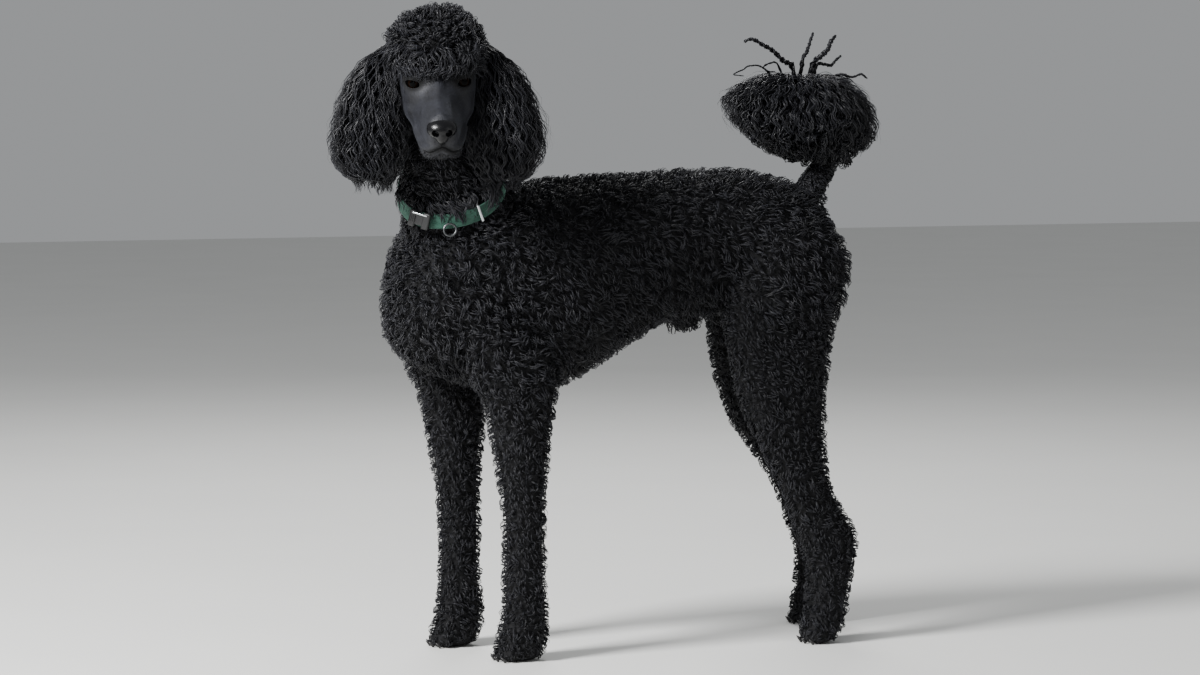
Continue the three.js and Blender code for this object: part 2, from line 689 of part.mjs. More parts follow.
function pom() {
  const core = ball(9, 5, 1, 1, 1);
  const position = core.attributes.position;
  for (let i = 0; i < position.count; i += 1) {
    const place = inPom(new THREE.Vector3().fromBufferAttribute(position, i), POM_CORE);
    position.setXYZ(i, ...place.toArray());
  }
  const locks = POM_LOCKS.flatMap((tier) =>
    Array.from({ length: tier.count }, (_, i) =>
      pomLock(tier.turn + (2 * Math.PI * (i + 0.2 * random())) / tier.count, tier),
    ),
  );
  const cords = CORDS.map((path) => tube(path, (share) => CORD_RADIUS * (1 - 0.6 * share), 7, 4));
  return united([core, ...locks, ...cords].map(solidOf));
}

// Sheath, a low ridge under the belly
const SHEATH = { x: 118, z: 432, long: 28, wide: 13, high: 16 };
const sheath = () => ball(9, 6, SHEATH.long, SHEATH.wide, SHEATH.high).translate(SHEATH.x, 0, SHEATH.z);

// The whole dog in one body: the core of the coat, with its curls, then what is cut from it
const bodyCore = [trunk(CURL_DEPTH), neck(CURL_DEPTH), ...legs(CURL_DEPTH)].map(solidOf);
const bodyCurls = curlsOn(united(bodyCore), bodyCoat);
const topknotCurls = curlsOn(united([topknot(CURL_DEPTH), ...skull()].map(solidOf)), headCoat);
const sides = [LEFT, RIGHT];
const lids = sides.map((sideways) => eyeBall(sideways, EYE.radius + EYE.lid));
const feet = [
  ...toes(FRONT_LEG, LEFT, noStep),
  ...toes(FRONT_LEG, RIGHT, foreStep),
  ...toes(HIND_LEG, LEFT, noStep),
  ...toes(HIND_LEG, RIGHT, hindStep),
];
const forms = [topknot(CURL_DEPTH), ...skull(), tailRoot(), sheath(), ...lids, ...feet];
const curls = [...bodyCurls, ...topknotCurls].map((one) => curl(one));
const cuts = [
  ...sides.map(lidOpening),
  ...sides.map((sideways) => eyeBall(sideways, EYE.radius + GAP)),
  nose(GAP),
  mouthLine(),
  band(CLEAR, OVER_BAND),
  plate(SLIDER, GAP),
  leadRing(GAP),
];
const body = united([...bodyCore, ...[...forms, ...curls].map(solidOf)])
  .subtract(united([...cuts.map(solidOf), buckle(GAP)]))
  .intersect(halfSpace({ point: [0, 0, 0], normal: [0, 0, 1] }, 0));

// Where the dog is parted; each plane's normal points into the piece that is cut off there
const HEAD_CUT = { point: [-262, -85, 700], normal: [-0.168, -0.541, 0.824] };
const NECK_CUT = { point: [-105, 0, 640], normal: [-0.524, 0, 0.852] };
const TAIL_CUT = [
  { point: [306, 0, 612], normal: [0.53, 0, 0.85] },
  { point: [270, 0, 0], normal: [1, 0, 0] },
];
const foreCut = (sideways) => [
  { point: [0, sideways * 32, 0], normal: [0, sideways, 0] },
  { point: [0, sideways * 32, 352], normal: [0, sideways * 0.6, -0.8] },
  { point: [-80, 0, 0], normal: [-1, 0, 0] },
];
const hindCut = (sideways, step) => [
  { point: [0, sideways * 24, 0], normal: [0, sideways, 0] },
  { point: [130, 0, 452], normal: [0.5, sideways * 0.12, -0.86] },
  { point: [143 + step, 0, 0], normal: [1, 0, 0] },
];
const half = GAP / 2;
const belowHead = body.subtract(halfSpace(HEAD_CUT, -half));
const rear = belowHead.subtract(halfSpace(NECK_CUT, -half));
const LIMBS = {
  front_leg_left: foreCut(LEFT),
  front_leg_right: foreCut(RIGHT),
  hind_leg_left: hindCut(LEFT, 0),
  hind_leg_right: hindCut(RIGHT, RIGHT_THIGH_STEP),
  tail_root: TAIL_CUT,
};
const torso = Object.values(LIMBS).reduce((rest, planes) => rest.subtract(within(planes, -half)), rear);

// The head and neck a little fuller, to cut the ears clear of them
const nearEars = bodyCurls.filter(({ point }) => point.z > 560 && point.x < -150);
const room = united(
  [
    neck(CURL_DEPTH - CLEAR),
    topknot(CURL_DEPTH - CLEAR),
    ...skull(CLEAR),
    ...[...nearEars, ...topknotCurls].map((one) => curl(one, CLEAR)),
    ...sides.map((sideways) => eyeBall(sideways, EYE.radius + EYE.lid + CLEAR)),
    band(CLEAR),
  ].map(solidOf),
).add(body);

const finish = (color, roughness, metalness = 0) =>
  new THREE.MeshStandardMaterial({ color, roughness, metalness });
const COAT = finish(0x0c0c0f, 0.9);
const LEATHER = finish(0x08080a, 0.3);
const EYE_BROWN = finish(0x140a06, 0.08);
const WEBBING = finish(0x1f5a45, 0.75);
const PLASTIC = finish(0x0d0d0d, 0.4);
const STEEL = finish(0xb9bdc2, 0.25, 1);
const SHORTEST_EDGE = 0.03;
const dog = new THREE.Group();

function add(name, solid, material) {
  const mesh = new THREE.Mesh(geometryOf(largest(solid.simplify(SHORTEST_EDGE))), material);
  mesh.name = name;
  dog.add(mesh);
}

add("head", body.intersect(halfSpace(HEAD_CUT, half)), COAT);
add("neck", belowHead.intersect(halfSpace(NECK_CUT, half)), COAT);
add("torso", torso, COAT);
for (const [name, planes] of Object.entries(LIMBS)) add(name, rear.intersect(within(planes, half)), COAT);
add("tail_pom", pom().subtract(solidOf(tailRoot(CLEAR))), COAT);
add("ear_left", ear(LEFT).subtract(room), COAT);
add("ear_right", ear(RIGHT).subtract(room), COAT);
add("nose", solidOf(nose()).subtract(united(sides.map((sideways) => solidOf(nostril(sideways))))), LEATHER);
add("eye_left", solidOf(eyeBall(LEFT, EYE.radius)), EYE_BROWN);
add("eye_right", solidOf(eyeBall(RIGHT, EYE.radius)), EYE_BROWN);
add("collar_band", solidOf(band()), WEBBING);
add("collar_buckle", buckle(), PLASTIC);
add("collar_slider", solidOf(plate(SLIDER)), STEEL);
add("collar_ring", solidOf(leadRing()), STEEL);

// The origin goes under the middle of the outline
const middle = new THREE.Box3().setFromObject(dog).getCenter(new THREE.Vector3());
dog.position.set(-middle.x, -middle.y, 0);

export default dog;
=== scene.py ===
# A standing standard poodle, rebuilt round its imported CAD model: one skin, the hair that grows from
# it, the face, and the collar. Sizes are in millimetres in the frame that the CAD source builds the
# dog in: +Z up, chest towards -X, the dog's left side towards -Y.
import math
from functools import partial

import bmesh
import bpy
import numpy as np
from mathutils import Euler, Matrix, Vector
from mathutils.bvhtree import BVHTree
from mathutils.kdtree import KDTree


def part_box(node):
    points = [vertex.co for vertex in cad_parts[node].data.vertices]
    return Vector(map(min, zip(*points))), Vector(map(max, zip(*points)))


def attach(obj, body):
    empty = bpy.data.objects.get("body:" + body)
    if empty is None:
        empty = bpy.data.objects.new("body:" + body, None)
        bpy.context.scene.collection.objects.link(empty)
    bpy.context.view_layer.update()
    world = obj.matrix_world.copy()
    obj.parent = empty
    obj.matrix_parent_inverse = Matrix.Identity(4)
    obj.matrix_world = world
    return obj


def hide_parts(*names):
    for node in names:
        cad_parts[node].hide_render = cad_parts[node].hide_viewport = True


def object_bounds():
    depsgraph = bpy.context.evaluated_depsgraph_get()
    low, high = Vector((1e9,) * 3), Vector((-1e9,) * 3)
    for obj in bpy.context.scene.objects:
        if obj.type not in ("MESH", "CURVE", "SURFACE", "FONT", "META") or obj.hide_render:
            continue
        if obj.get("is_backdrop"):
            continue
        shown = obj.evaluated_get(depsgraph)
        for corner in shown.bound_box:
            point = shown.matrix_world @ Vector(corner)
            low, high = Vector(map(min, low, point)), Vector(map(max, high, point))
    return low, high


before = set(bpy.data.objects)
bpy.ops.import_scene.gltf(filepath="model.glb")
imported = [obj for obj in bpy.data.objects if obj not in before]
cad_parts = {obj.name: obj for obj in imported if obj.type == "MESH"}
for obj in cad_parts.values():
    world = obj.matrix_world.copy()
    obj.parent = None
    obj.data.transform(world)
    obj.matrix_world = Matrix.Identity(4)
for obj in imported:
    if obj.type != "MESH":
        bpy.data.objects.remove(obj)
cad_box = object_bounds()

# The head's place and turn. The head is its own frame, +X to the nose, +Y to the dog's left and +Z to
# the crown. The CAD model is centred on the dog's outline, and the left eye tells by how much it was
# moved.
HEAD_PLACE = Vector((-262, -85, 766))
HEAD_TURN = Euler((math.radians(2), math.radians(19), math.radians(-107.3)))
EYE_PLACE = Vector((47, 30, 16))
head_frame = Matrix.Translation(HEAD_PLACE) @ HEAD_TURN.to_matrix().to_4x4()
eye_low, eye_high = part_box("eye_left")
to_row = Matrix.Scale(0.001, 4)
to_row.translation = (eye_low + eye_high) / 2 - to_row @ head_frame @ EYE_PLACE

# The camera stands 5 m away, 22 degrees ahead of square to the dog's left side. It is a little higher
# than the dog's back and looks slightly down.
VIEW = dict(away=5000, high=780, turn=math.radians(22), down=math.radians(4.124), lens=111.3)


def placed(name, data):
    """An object of this data, in the scene."""
    made = bpy.data.objects.new(name, data)
    bpy.context.scene.collection.objects.link(made)
    return made


camera = placed("camera", bpy.data.cameras.new("camera"))
camera.data.lens = VIEW["lens"]
camera.data.sensor_width = 36
camera.data.clip_end = 50
ahead, aside = -VIEW["away"] * math.sin(VIEW["turn"]), -VIEW["away"] * math.cos(VIEW["turn"])
camera.location = to_row @ Vector((ahead, aside, VIEW["high"]))
camera.rotation_euler = (math.pi / 2 - VIEW["down"], 0, -VIEW["turn"])
bpy.context.scene.camera = camera


# Skin of the trunk, neck, legs and tail. It lies under the curls by their depth, and is moulded as one
# body from sections through the chest and belly, the neck and the four legs, then smoothed where they
# meet. The tail ball has a core of packed wool, and each foot has four toes.
CURL_DEPTH = 13
LEG_CURL_DEPTH = 10
TRUNK = [  # x, top, bottom, half width
    (-293, 505, 430, 30),
    (-285, 548, 405, 62),
    (-258, 590, 384, 88),
    (-208, 618, 362, 105),
    (-145, 634, 349, 114),
    (-80, 640, 347, 116),
    (-20, 643, 374, 113),
    (40, 645, 410, 104),
    (100, 648, 436, 94),
    (155, 650, 440, 90),
    (210, 648, 442, 92),
    (260, 638, 452, 88),
    (304, 617, 475, 72),
    (327, 580, 500, 40),
]
TRUNK_WIDEST = 0.52
FRONT_LEG = [  # z, front, back, y, half width
    (480, -262, -122, 62, 40),
    (425, -236, -90, 70, 42),
    (375, -212, -84, 75, 42),
    (330, -197, -92, 77, 41),
    (290, -189, -98, 77, 39),
    (240, -179, -103, 76, 37),
    (180, -173, -104, 75, 35),
    (110, -173, -104, 75, 35),
    (60, -175, -100, 75, 36),
    (24, -183, -102, 75, 38),
    (0, -184, -108, 75, 34),
]
HIND_LEG = [
    (600, 218, 292, 38, 28),
    (560, 182, 326, 54, 48),
    (515, 160, 347, 60, 52),
    (460, 148, 330, 66, 50),
    (410, 149, 314, 72, 46),
    (360, 160, 307, 78, 43),
    (310, 177, 301, 82, 39),
    (265, 199, 301, 84, 36),
    (225, 219, 307, 85, 34),
    (180, 237, 328, 85, 33),
    (145, 250, 350, 85, 34),
    (105, 263, 346, 85, 33),
    (60, 265, 336, 85, 34),
    (24, 258, 328, 85, 36),
    (0, 259, 318, 85, 33),
]
NECK = [  # x, y, z, half width, half depth
    (-150, 0, 500, 98, 108),
    (-182, -3, 545, 88, 98),
    (-208, -14, 590, 74, 80),
    (-228, -28, 632, 63, 66),
    (-240, -38, 680, 57, 59),
    (-247, -42, 725, 50, 52),
    (-249, -46, 760, 38, 40),
]
NECK_LEAN = 0.45
TAIL_STALK = [(286, 0, 570), (292, 0, 585), (314, 0, 620), (336, 0, 655), (338, 0, 700)]
TAIL_RADIUS = (25, 13)
POM = dict(x=302, z=718, ahead=118, behind=104, side=87, drop=0.13, thin=50, thicken=0.12, core=0.76)
SHEATH = dict(place=(124, 0, 438), size=(24, 11, 12))
TOE = dict(size=(13, 8, 9), apart=13.5, inset=13, rake=5, up=8)
GROUND_GAP = 0.5
BODY_VOXEL = 6
LEGS = [  # name, sections, side, steps back: how far, under which height, over what height
    ("front_leg_left", FRONT_LEG, -1, ()),
    ("front_leg_right", FRONT_LEG, 1, [(-38, 500, 110)]),
    ("hind_leg_left", HIND_LEG, -1, ()),
    ("hind_leg_right", HIND_LEG, 1, [(38, 500, 80), (24, 320, 130)]),
]


def smooth(value, low, high):
    """0 below low and 1 above high, with a soft start and end."""
    share = np.clip((value - low) / (high - low), 0, 1)
    return share * share * (3 - 2 * share)


def row_at(rows, share):
    """The sizes at a share of the way down a table of rows, on a smooth curve through them."""
    rows = np.array(rows, float)
    place = np.asarray(share, float) * (len(rows) - 1)
    start = np.clip(place.astype(int), 0, len(rows) - 2)
    before, here, after, beyond = (rows[np.clip(start + i, 0, len(rows) - 1)] for i in (-1, 0, 1, 2))
    t = (place - start)[..., None]
    leave, arrive = (after - before) / 2, (beyond - here) / 2
    bend = (2 * here - 2 * after + leave + arrive) * t**3
    return bend + (3 * after - 3 * here - 2 * leave - arrive) * t**2 + leave * t + here


def rows_down(rows, count):
    """So many rows, spread evenly down a table."""
    return [row_at(rows, i / (count - 1)) for i in range(count)]


def around(sides, power=1.0):
    """Cosines and sines round a circle, or round a squarer ring with a power under 1."""
    for i in range(sides):
        angle = 2 * math.pi * i / sides
        yield tuple(math.copysign(abs(x) ** power, x) for x in (math.cos(angle), math.sin(angle)))


def edges_of(verts):
    return list({edge for vert in verts for edge in vert.link_edges})


def loft(bm, rings, hoop=False):
    """Bridges rings of points into a closed body or into a hoop, and gives the rings' vertices."""
    made = []
    for ring in rings:
        made.append(bmesh.ops.create_circle(bm, segments=len(ring), radius=1)["verts"])
        for vert, place in zip(made[-1], ring):
            vert.co = place
    loops = [edges_of(verts) for verts in made]
    for one, other in zip(loops, loops[1:] + loops[:1] if hoop else loops[1:]):
        bmesh.ops.bridge_loops(bm, edges=one + other)
    if not hoop:
        bmesh.ops.holes_fill(bm, edges=loops[0] + loops[-1], sides=0)
    return made


def ball(bm, place, size, turn=Matrix(), within=Matrix()):
    """An ellipsoid, turned about its own middle, in the frame given."""
    matrix = within @ Matrix.Translation(place) @ turn @ Matrix.Diagonal((*size, 1))
    bmesh.ops.create_icosphere(bm, subdivisions=4, radius=1, matrix=matrix)


def tube(bm, path, radii, sides=16):
    """A round body along a path, with a radius at each end."""
    stations = 4 * len(path)
    points = [Vector(point) for point in rows_down(path, stations)]
    rings = []
    for i, point in enumerate(points):
        along = points[min(i + 1, stations - 1)] - points[max(i - 1, 0)]
        turn = along.to_track_quat("Z", "X")
        radius = radii[0] + (radii[1] - radii[0]) * i / (stations - 1)
        rings.append([point + turn @ Vector((radius * c, radius * s, 0)) for c, s in around(sides)])
    loft(bm, rings)


def trunk_rings():
    for x, top, bottom, side in rows_down(TRUNK, 40):
        widest = bottom + TRUNK_WIDEST * (top - bottom)
        ring = []
        for c, s in around(40, 0.9):
            deep = top - widest if s > 0 else widest - bottom
            ring.append((x, (side - CURL_DEPTH) * c, widest + (deep - CURL_DEPTH) * s))
        yield ring


def stepped(steps, z):
    """How far back a leg stands at a height: each right leg is part of a step from the left one."""
    return sum(back * smooth(under - z, 0, over) for back, under, over in steps)


def leg_rings(rows, sideways, steps):
    for z, front, back, y, side in rows_down(rows, 44):
        middle = (front + back) / 2 + stepped(steps, z)
        deep, wide, z = (back - front) / 2 - LEG_CURL_DEPTH, side - LEG_CURL_DEPTH, max(z, GROUND_GAP)
        yield [(middle + deep * c, sideways * y + wide * s, z) for c, s in around(24, 0.95)]


def neck_point(share, c, s):
    x, y, z, wide, deep = row_at(NECK, share)
    back = (deep - CURL_DEPTH) * c
    return Vector((x + back, y + (wide - CURL_DEPTH) * s, z + back * NECK_LEAN))


def in_pom(x, y, z, share):
    """The point at a share of the way from the middle of the tail ball to its tips, in a direction."""
    ahead = x * np.where(x < 0, POM["ahead"], POM["behind"])
    deep = POM["thin"] + POM["thicken"] * (ahead + POM["ahead"])
    level = POM["z"] - POM["drop"] * ahead
    return np.stack([POM["x"] + share * ahead, share * POM["side"] * y, level + share * deep * z], -1)


def toe_places(rows, sideways, steps):
    for place in (-1.5, -0.5, 0.5, 1.5):
        front = rows[-1][1] + stepped(steps, 0) + TOE["inset"] + TOE["rake"] * abs(place)
        yield Vector((front, sideways * rows[-1][3] + place * TOE["apart"], TOE["up"]))


def built(bm, name, smoothed=True):
    """The mesh that a bmesh holds; the bmesh is freed."""
    mesh = bpy.data.meshes.new(name)
    bm.to_mesh(mesh)
    bm.free()
    if smoothed:
        mesh.shade_smooth()
    return mesh


def evaluated(rough):
    """The mesh that an object's modifiers give; the object itself is removed."""
    graph = bpy.context.evaluated_depsgraph_get()
    mesh = bpy.data.meshes.new_from_object(rough.evaluated_get(graph))
    bpy.data.objects.remove(rough)
    return mesh


def moulded(name, bm, voxel, softening):
    """A mesh of even facets over all the bodies in a bmesh, as one skin, softened where they meet."""
    rough = placed(name, built(bm, name, False))
    remesh = rough.modifiers.new("one skin", "REMESH")
    remesh.voxel_size = voxel
    soften = rough.modifiers.new("soften", "SMOOTH")
    soften.iterations = softening
    return evaluated(rough)


# Skin of the head: skull, cheeks, muzzle and jaw, with lips either side of the mouth line, brows, and
# lids round the eyes. It is clipped close, so its surface is the dog's outline there. The wool of the
# topknot and the ears has a packed core, which is moulded with the body.
SKULL = [  # x, top, bottom, half width above, half width below
    (-84, 22, -14, 16, 16),
    (-74, 42, -36, 34, 32),
    (-48, 58, -52, 47, 44),
    (-12, 64, -58, 52, 46),
    (22, 58, -60, 53, 45),
    (42, 44, -60, 50, 42),
    (56, 30, -58, 40, 39),
    (68, 19, -54, 26, 37),
    (88, 13, -50, 19, 33),
    (112, 9, -49, 19, 28),
    (134, 6, -46, 19.5, 23.5),
    (147, 3, -42, 17.5, 19),
    (154, -4, -36, 11, 13),
]
JAW = [  # x, top, bottom, half width
    (-10, -20, -56, 30),
    (30, -20, -61, 37),
    (60, -26, -62, 32),
    (90, -28, -62, 24),
    (115, -28, -61, 20),
    (134, -30, -58, 14),
    (144, -32, -53, 8),
]
BRIDGE = [(50, 0, 20), (70, 0, 12), (88, 0, 6), (112, 0, 2), (144, 0, -3)]
BRIDGE_RADIUS = (9.5, 9)
MOUTH = [(74, 34, -44), (94, 31, -47), (116, 27, -49), (134, 22, -48), (147, 13, -44), (153, 0, -35)]
MOUTH_AROUND = MOUTH + [(x, -y, z) for x, y, z in reversed(MOUTH[:-1])]
MOUTH_GROOVE = 1.7
PHILTRUM = [(161, 0, -22), (159, 0, -29), (154, 0, -36)]
PHILTRUM_GROOVE = 1.2
LIPS = [(-3, 0.9, 6, 5.5), (-6, 0.82, -5, 4.5)]  # from the mouth line: ahead, narrowing, up, radius
TOPKNOT = dict(place=Vector((-8, 0, 42)), size=Vector((72, 70, 58)), turn=0.2)
EYE_RADIUS = 11
LIDS = dict(place=EYE_PLACE, size=(EYE_RADIUS + 1.8,) * 3)
BROW = dict(place=(43, 26, 25), size=(17, 14, 7))
CHEEK = dict(place=(28, 33, -18), size=(34, 14, 24))
SOCKET = dict(place=EYE_PLACE, size=(EYE_RADIUS + 0.2,) * 3)
LID_OPENING = dict(place=EYE_PLACE + Vector((14, 7, 0)), size=(30, 11.5, 5.8), turn=0.45)
EAR = [  # z, inner, outer, front, back
    (818, 40, 66, 16, -28),
    (800, 36, 94, 28, -42),
    (775, 36, 113, 38, -52),
    (745, 36, 127, 44, -58),
    (715, 36, 136, 46, -60),
    (690, 36, 141, 46, -58),
    (668, 40, 138, 42, -54),
    (646, 50, 124, 32, -42),
    (636, 58, 108, 20, -30),
]
EAR_CORE = dict(reach=0.5, end=0.72)
HEAD_VOXEL = 2.0
level_head = Matrix.Translation(HEAD_PLACE * Vector((1, 1, 0))) @ Matrix.Rotation(HEAD_TURN.z, 4, "Z")


def in_frame(matrix, points):
    """Points, as an array, taken through a matrix."""
    matrix = np.array(matrix)
    return points @ matrix[:3, :3].T + matrix[:3, 3]


def on_side(place, sideways):
    """A place on the left of the head for 1, or its twin on the right for -1."""
    return Vector(place) * Vector((1, sideways, 1))


def twin(bm, sideways, place, size, turn=0.0, within=head_frame):
    """An ellipsoid on one side of the head, turned as the mirror image of the other side's."""
    ball(bm, on_side(place, sideways), size, Matrix.Rotation(sideways * turn, 4, "Z"), within)


def head_ring(x, top, bottom, upper, lower, sides, power):
    middle, deep = (top + bottom) / 2, (top - bottom) / 2
    for c, s in around(sides, power):
        yield x, (lower + (upper - lower) * (s + 1) / 2) * c, middle + deep * s


def ear_point(sideways, share, angle, reach):
    """A point of an ear, this share of the way down and angle round it; angle 0 is off the head."""
    z, inner, outer, front, back = np.moveaxis(row_at(EAR, share), -1, 0)
    c, s = (np.copysign(np.abs(x) ** 0.9, x) for x in (np.cos(angle), np.sin(angle)))
    across = (inner + outer) / 2 + reach * (outer - inner) / 2 * c
    along = (front + back) / 2 + reach * (front - back) / 2 * s
    return in_frame(level_head, np.stack(np.broadcast_arrays(along, sideways * across, z), -1))


def cut_from(mesh, cutter):
    """The mesh with the closed body in a bmesh taken out of it."""
    rough, tool = placed("rough", mesh), placed("tool", built(cutter, "tool", False))
    cut = rough.modifiers.new("cut", "BOOLEAN")
    cut.solver = "MANIFOLD"
    cut.object = tool
    result = evaluated(rough)
    bpy.data.objects.remove(tool)
    return result


body = bmesh.new()
loft(body, trunk_rings())
loft(body, [[neck_point(i / 23, c, s) for c, s in around(32)] for i in range(24)])
for _, *leg in LEGS:
    loft(body, leg_rings(*leg))
    for place in toe_places(*leg):
        ball(body, place, TOE["size"])
tube(body, TAIL_STALK, TAIL_RADIUS)
ball(body, SHEATH["place"], SHEATH["size"])
pom_start = len(body.verts)
bmesh.ops.create_icosphere(body, subdivisions=4, radius=1)
body.verts.ensure_lookup_table()
for vert in body.verts[pom_start:]:
    vert.co = in_pom(*vert.co, POM["core"])
for sideways in (-1, 1):
    turns = [2 * math.pi * j / 28 for j in range(28)]
    shares = [EAR_CORE["end"] * i / 19 for i in range(20)]
    flap = partial(ear_point, sideways, reach=EAR_CORE["reach"])
    loft(body, [[flap(share, angle) for angle in turns] for share in shares])
crown = Matrix.Rotation(TOPKNOT["turn"], 4, "Z")
crown_size = TOPKNOT["size"] - Vector((CURL_DEPTH,) * 3)
ball(body, TOPKNOT["place"], crown_size, crown, head_frame)
body_mesh = moulded("body", body, BODY_VOXEL, 10)

head = bmesh.new()
loft(head, [list(head_ring(*row, 40, 0.8)) for row in rows_down(SKULL, 44)])
loft(head, [list(head_ring(*row, row[-1], 32, 0.85)) for row in rows_down(JAW, 30)])
tube(head, BRIDGE, BRIDGE_RADIUS, 24)
lips = rows_down(MOUTH_AROUND, 31)
for forward, narrow, up, radius in LIPS:
    tube(head, [(x + forward, narrow * y, z + up) for x, y, z in lips], (radius, radius), 12)
for sideways in (-1, 1):
    for swell in (LIDS, BROW, CHEEK):
        twin(head, sideways, **swell, within=Matrix())
head.transform(head_frame)
head_mesh = moulded("head", head, HEAD_VOXEL, 6)
corners = [vert.co for vert in head_mesh.vertices]
uncut = BVHTree.FromPolygons(corners, [face.vertices for face in head_mesh.polygons])
for route, radius in ((lips, MOUTH_GROOVE), (PHILTRUM, PHILTRUM_GROOVE)):
    groove = bmesh.new()
    on_skin = [uncut.find_nearest(head_frame @ Vector(point))[0] for point in route]
    tube(groove, on_skin, (radius, radius), 10)
    head_mesh = cut_from(head_mesh, groove)
for sideways in (-1, 1):
    for hollow in (SOCKET, LID_OPENING):
        cutter = bmesh.new()
        twin(cutter, sideways, **hollow)
        head_mesh = cut_from(head_mesh, cutter)


# One skin over both. Most of what shows of it is the clipped black face, where short hair lies flat
# with a satin shine that breaks up as it turns, and which is bare and darker round the eyes and lips.
# Round the eyes the dark patch is also painted shade, wider than the lids and reaching up under the
# fringe. Under the curls it is a packed woollen undercoat, with painted shade in its hollows.
BARE_SKIN_AND_PAINTED_SHADE = (0.0012, 0.0012, 0.0014)
# Round each eye the rim is bare lid skin and also painted shade from the fringe, centred a little above
# the eye and wider than the lids.
EYE_RIM_AND_PAINTED_SHADE = dict(off=(0, 0, 4), squeeze=(0.8, 1, 1.1), fades=(13, 22))
LIP_RIM = dict(share=0.9, fades=(2.5, 6.5))


class Wire:
    """What comes out of a shader node, as a value to reckon with."""

    def __init__(self, finish, socket):
        self.finish = finish
        self.socket = socket

    def maths(self, operation, first, second):
        return self.finish.node("ShaderNodeMath", {"operation": operation}, {0: first, 1: second})

    def __add__(self, other):
        return self.maths("ADD", self, other)

    def __sub__(self, other):
        return self.maths("SUBTRACT", self, other)

    def __rsub__(self, other):
        return self.maths("SUBTRACT", other, self)

    def __mul__(self, other):
        return self.maths("MULTIPLY", self, other)

    __radd__ = __add__
    __rmul__ = __mul__


class Finish:
    """A material, made node by node from constants on its shader and from what varies over a piece."""

    def __init__(self, name, **constants):
        self.material = bpy.data.materials.new(name)
        self.material.use_nodes = True
        self.tree = self.material.node_tree
        self.shader = self.tree.nodes["Principled BSDF"]
        for socket, value in constants.items():
            self.feed(self.shader.inputs[socket.replace("_", " ")], value)

    def feed(self, socket, value):
        if isinstance(value, Wire):
            self.tree.links.new(value.socket, socket)
        else:
            socket.default_value = value

    def node(self, kind, settings=None, inputs=None, output=0):
        node = self.tree.nodes.new(kind)
        for name, value in (settings or {}).items():
            setattr(node, name, value)
        for socket, value in (inputs or {}).items():
            self.feed(node.inputs[socket], value)
        return Wire(self, node.outputs[output])

    def place(self):
        return self.node("ShaderNodeTexCoord", output="Object")

    def noise(self, scale, detail=2, where=None):
        inputs = {"Vector": where or self.place(), "Scale": scale, "Detail": detail}
        return self.node("ShaderNodeTexNoise", None, inputs)

    def cells(self, scale, feature="F1"):
        inputs = {"Vector": self.place(), "Scale": scale}
        return self.node("ShaderNodeTexVoronoi", {"feature": feature}, inputs)

    def strands(self):
        """Fine strands along a tuft, as a height from 0 to 1, from where on the tuft a place is."""
        across, along = self.attribute("across") * 3, self.attribute("tip") * 2
        own = self.attribute("shade") * 90
        where = self.node("ShaderNodeCombineXYZ", None, {0: across, 1: along, 2: own})
        return self.noise(1, 1, where)

    def attribute(self, name):
        return self.node("ShaderNodeAttribute", {"attribute_name": name}, output="Fac")

    def mixed(self, share, first, second):
        """A colour between two, of which the first may be a wire."""
        first = (*first, 1) if isinstance(first, tuple) else first
        ends = {0: share, 6: first, 7: (*second, 1)}
        return self.node("ShaderNodeMix", {"data_type": "RGBA"}, ends, "Result")

    def cover(self, colour, roughness, height=None, depth=0.001, strength=1):
        """Feeds the shader, and bends its normal by a height from 0 to 1, which stands for a depth."""
        self.feed(self.shader.inputs["Base Color"], colour)
        self.feed(self.shader.inputs["Roughness"], roughness)
        if height:
            inputs = {"Height": height, "Distance": depth, "Strength": strength}
            self.feed(self.shader.inputs["Normal"], self.node("ShaderNodeBump", None, inputs))
        return self.material


def read(values, name, kind, width):
    """An attribute of every vertex, corner or face, as an array."""
    found = np.empty(len(values) * width, kind)
    values.foreach_get(name, found)
    return found.reshape(-1, width) if width > 1 else found


def add_piece(name, mesh, material, *nodes, slot="coat"):
    """A finished piece, which is part of the still body and stands for these CAD nodes."""
    mesh.name = name
    mesh.transform(to_row)
    piece = placed(name, mesh)
    mesh.materials.clear()
    mesh.materials.append(material)
    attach(piece, "root")
    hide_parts(*nodes)


both = bmesh.new()
both.from_mesh(body_mesh)
body_mesh.calc_loop_triangles()
body_faces = len(body_mesh.loop_triangles)
both.from_mesh(head_mesh)
skin_mesh = built(both, "skin")
spread = placed("spread", skin_mesh)
bpy.context.view_layer.objects.active = spread
spread.select_set(True)
bpy.ops.object.mode_set(mode="EDIT")
bpy.ops.mesh.select_all(action="SELECT")
bpy.ops.uv.smart_project(angle_limit=math.radians(66), island_margin=0.0005)
bpy.ops.object.mode_set(mode="OBJECT")
skin_mesh.uv_layers[0].name = "OFBake"
bpy.data.objects.remove(spread)

SHEEN = dict(Sheen_Weight=0.06, Sheen_Roughness=0.35, Sheen_Tint=(0.8, 0.85, 1, 1))
satin = Finish("clipped black coat", Specular_IOR_Level=0.35, **SHEEN)
stroke = satin.node("ShaderNodeMapping", None, {"Vector": satin.place(), "Scale": (1, 1, 0.35)})
nap, cloud, rim_and_painted_shade = satin.noise(900, 3, stroke), satin.noise(70, 3), satin.attribute("rim_and_painted_shade")
share = nap * 1.1 + cloud * 1.5 - 0.85
tone = satin.mixed(share, (0.002, 0.002, 0.0028), (0.0165, 0.0175, 0.0235))
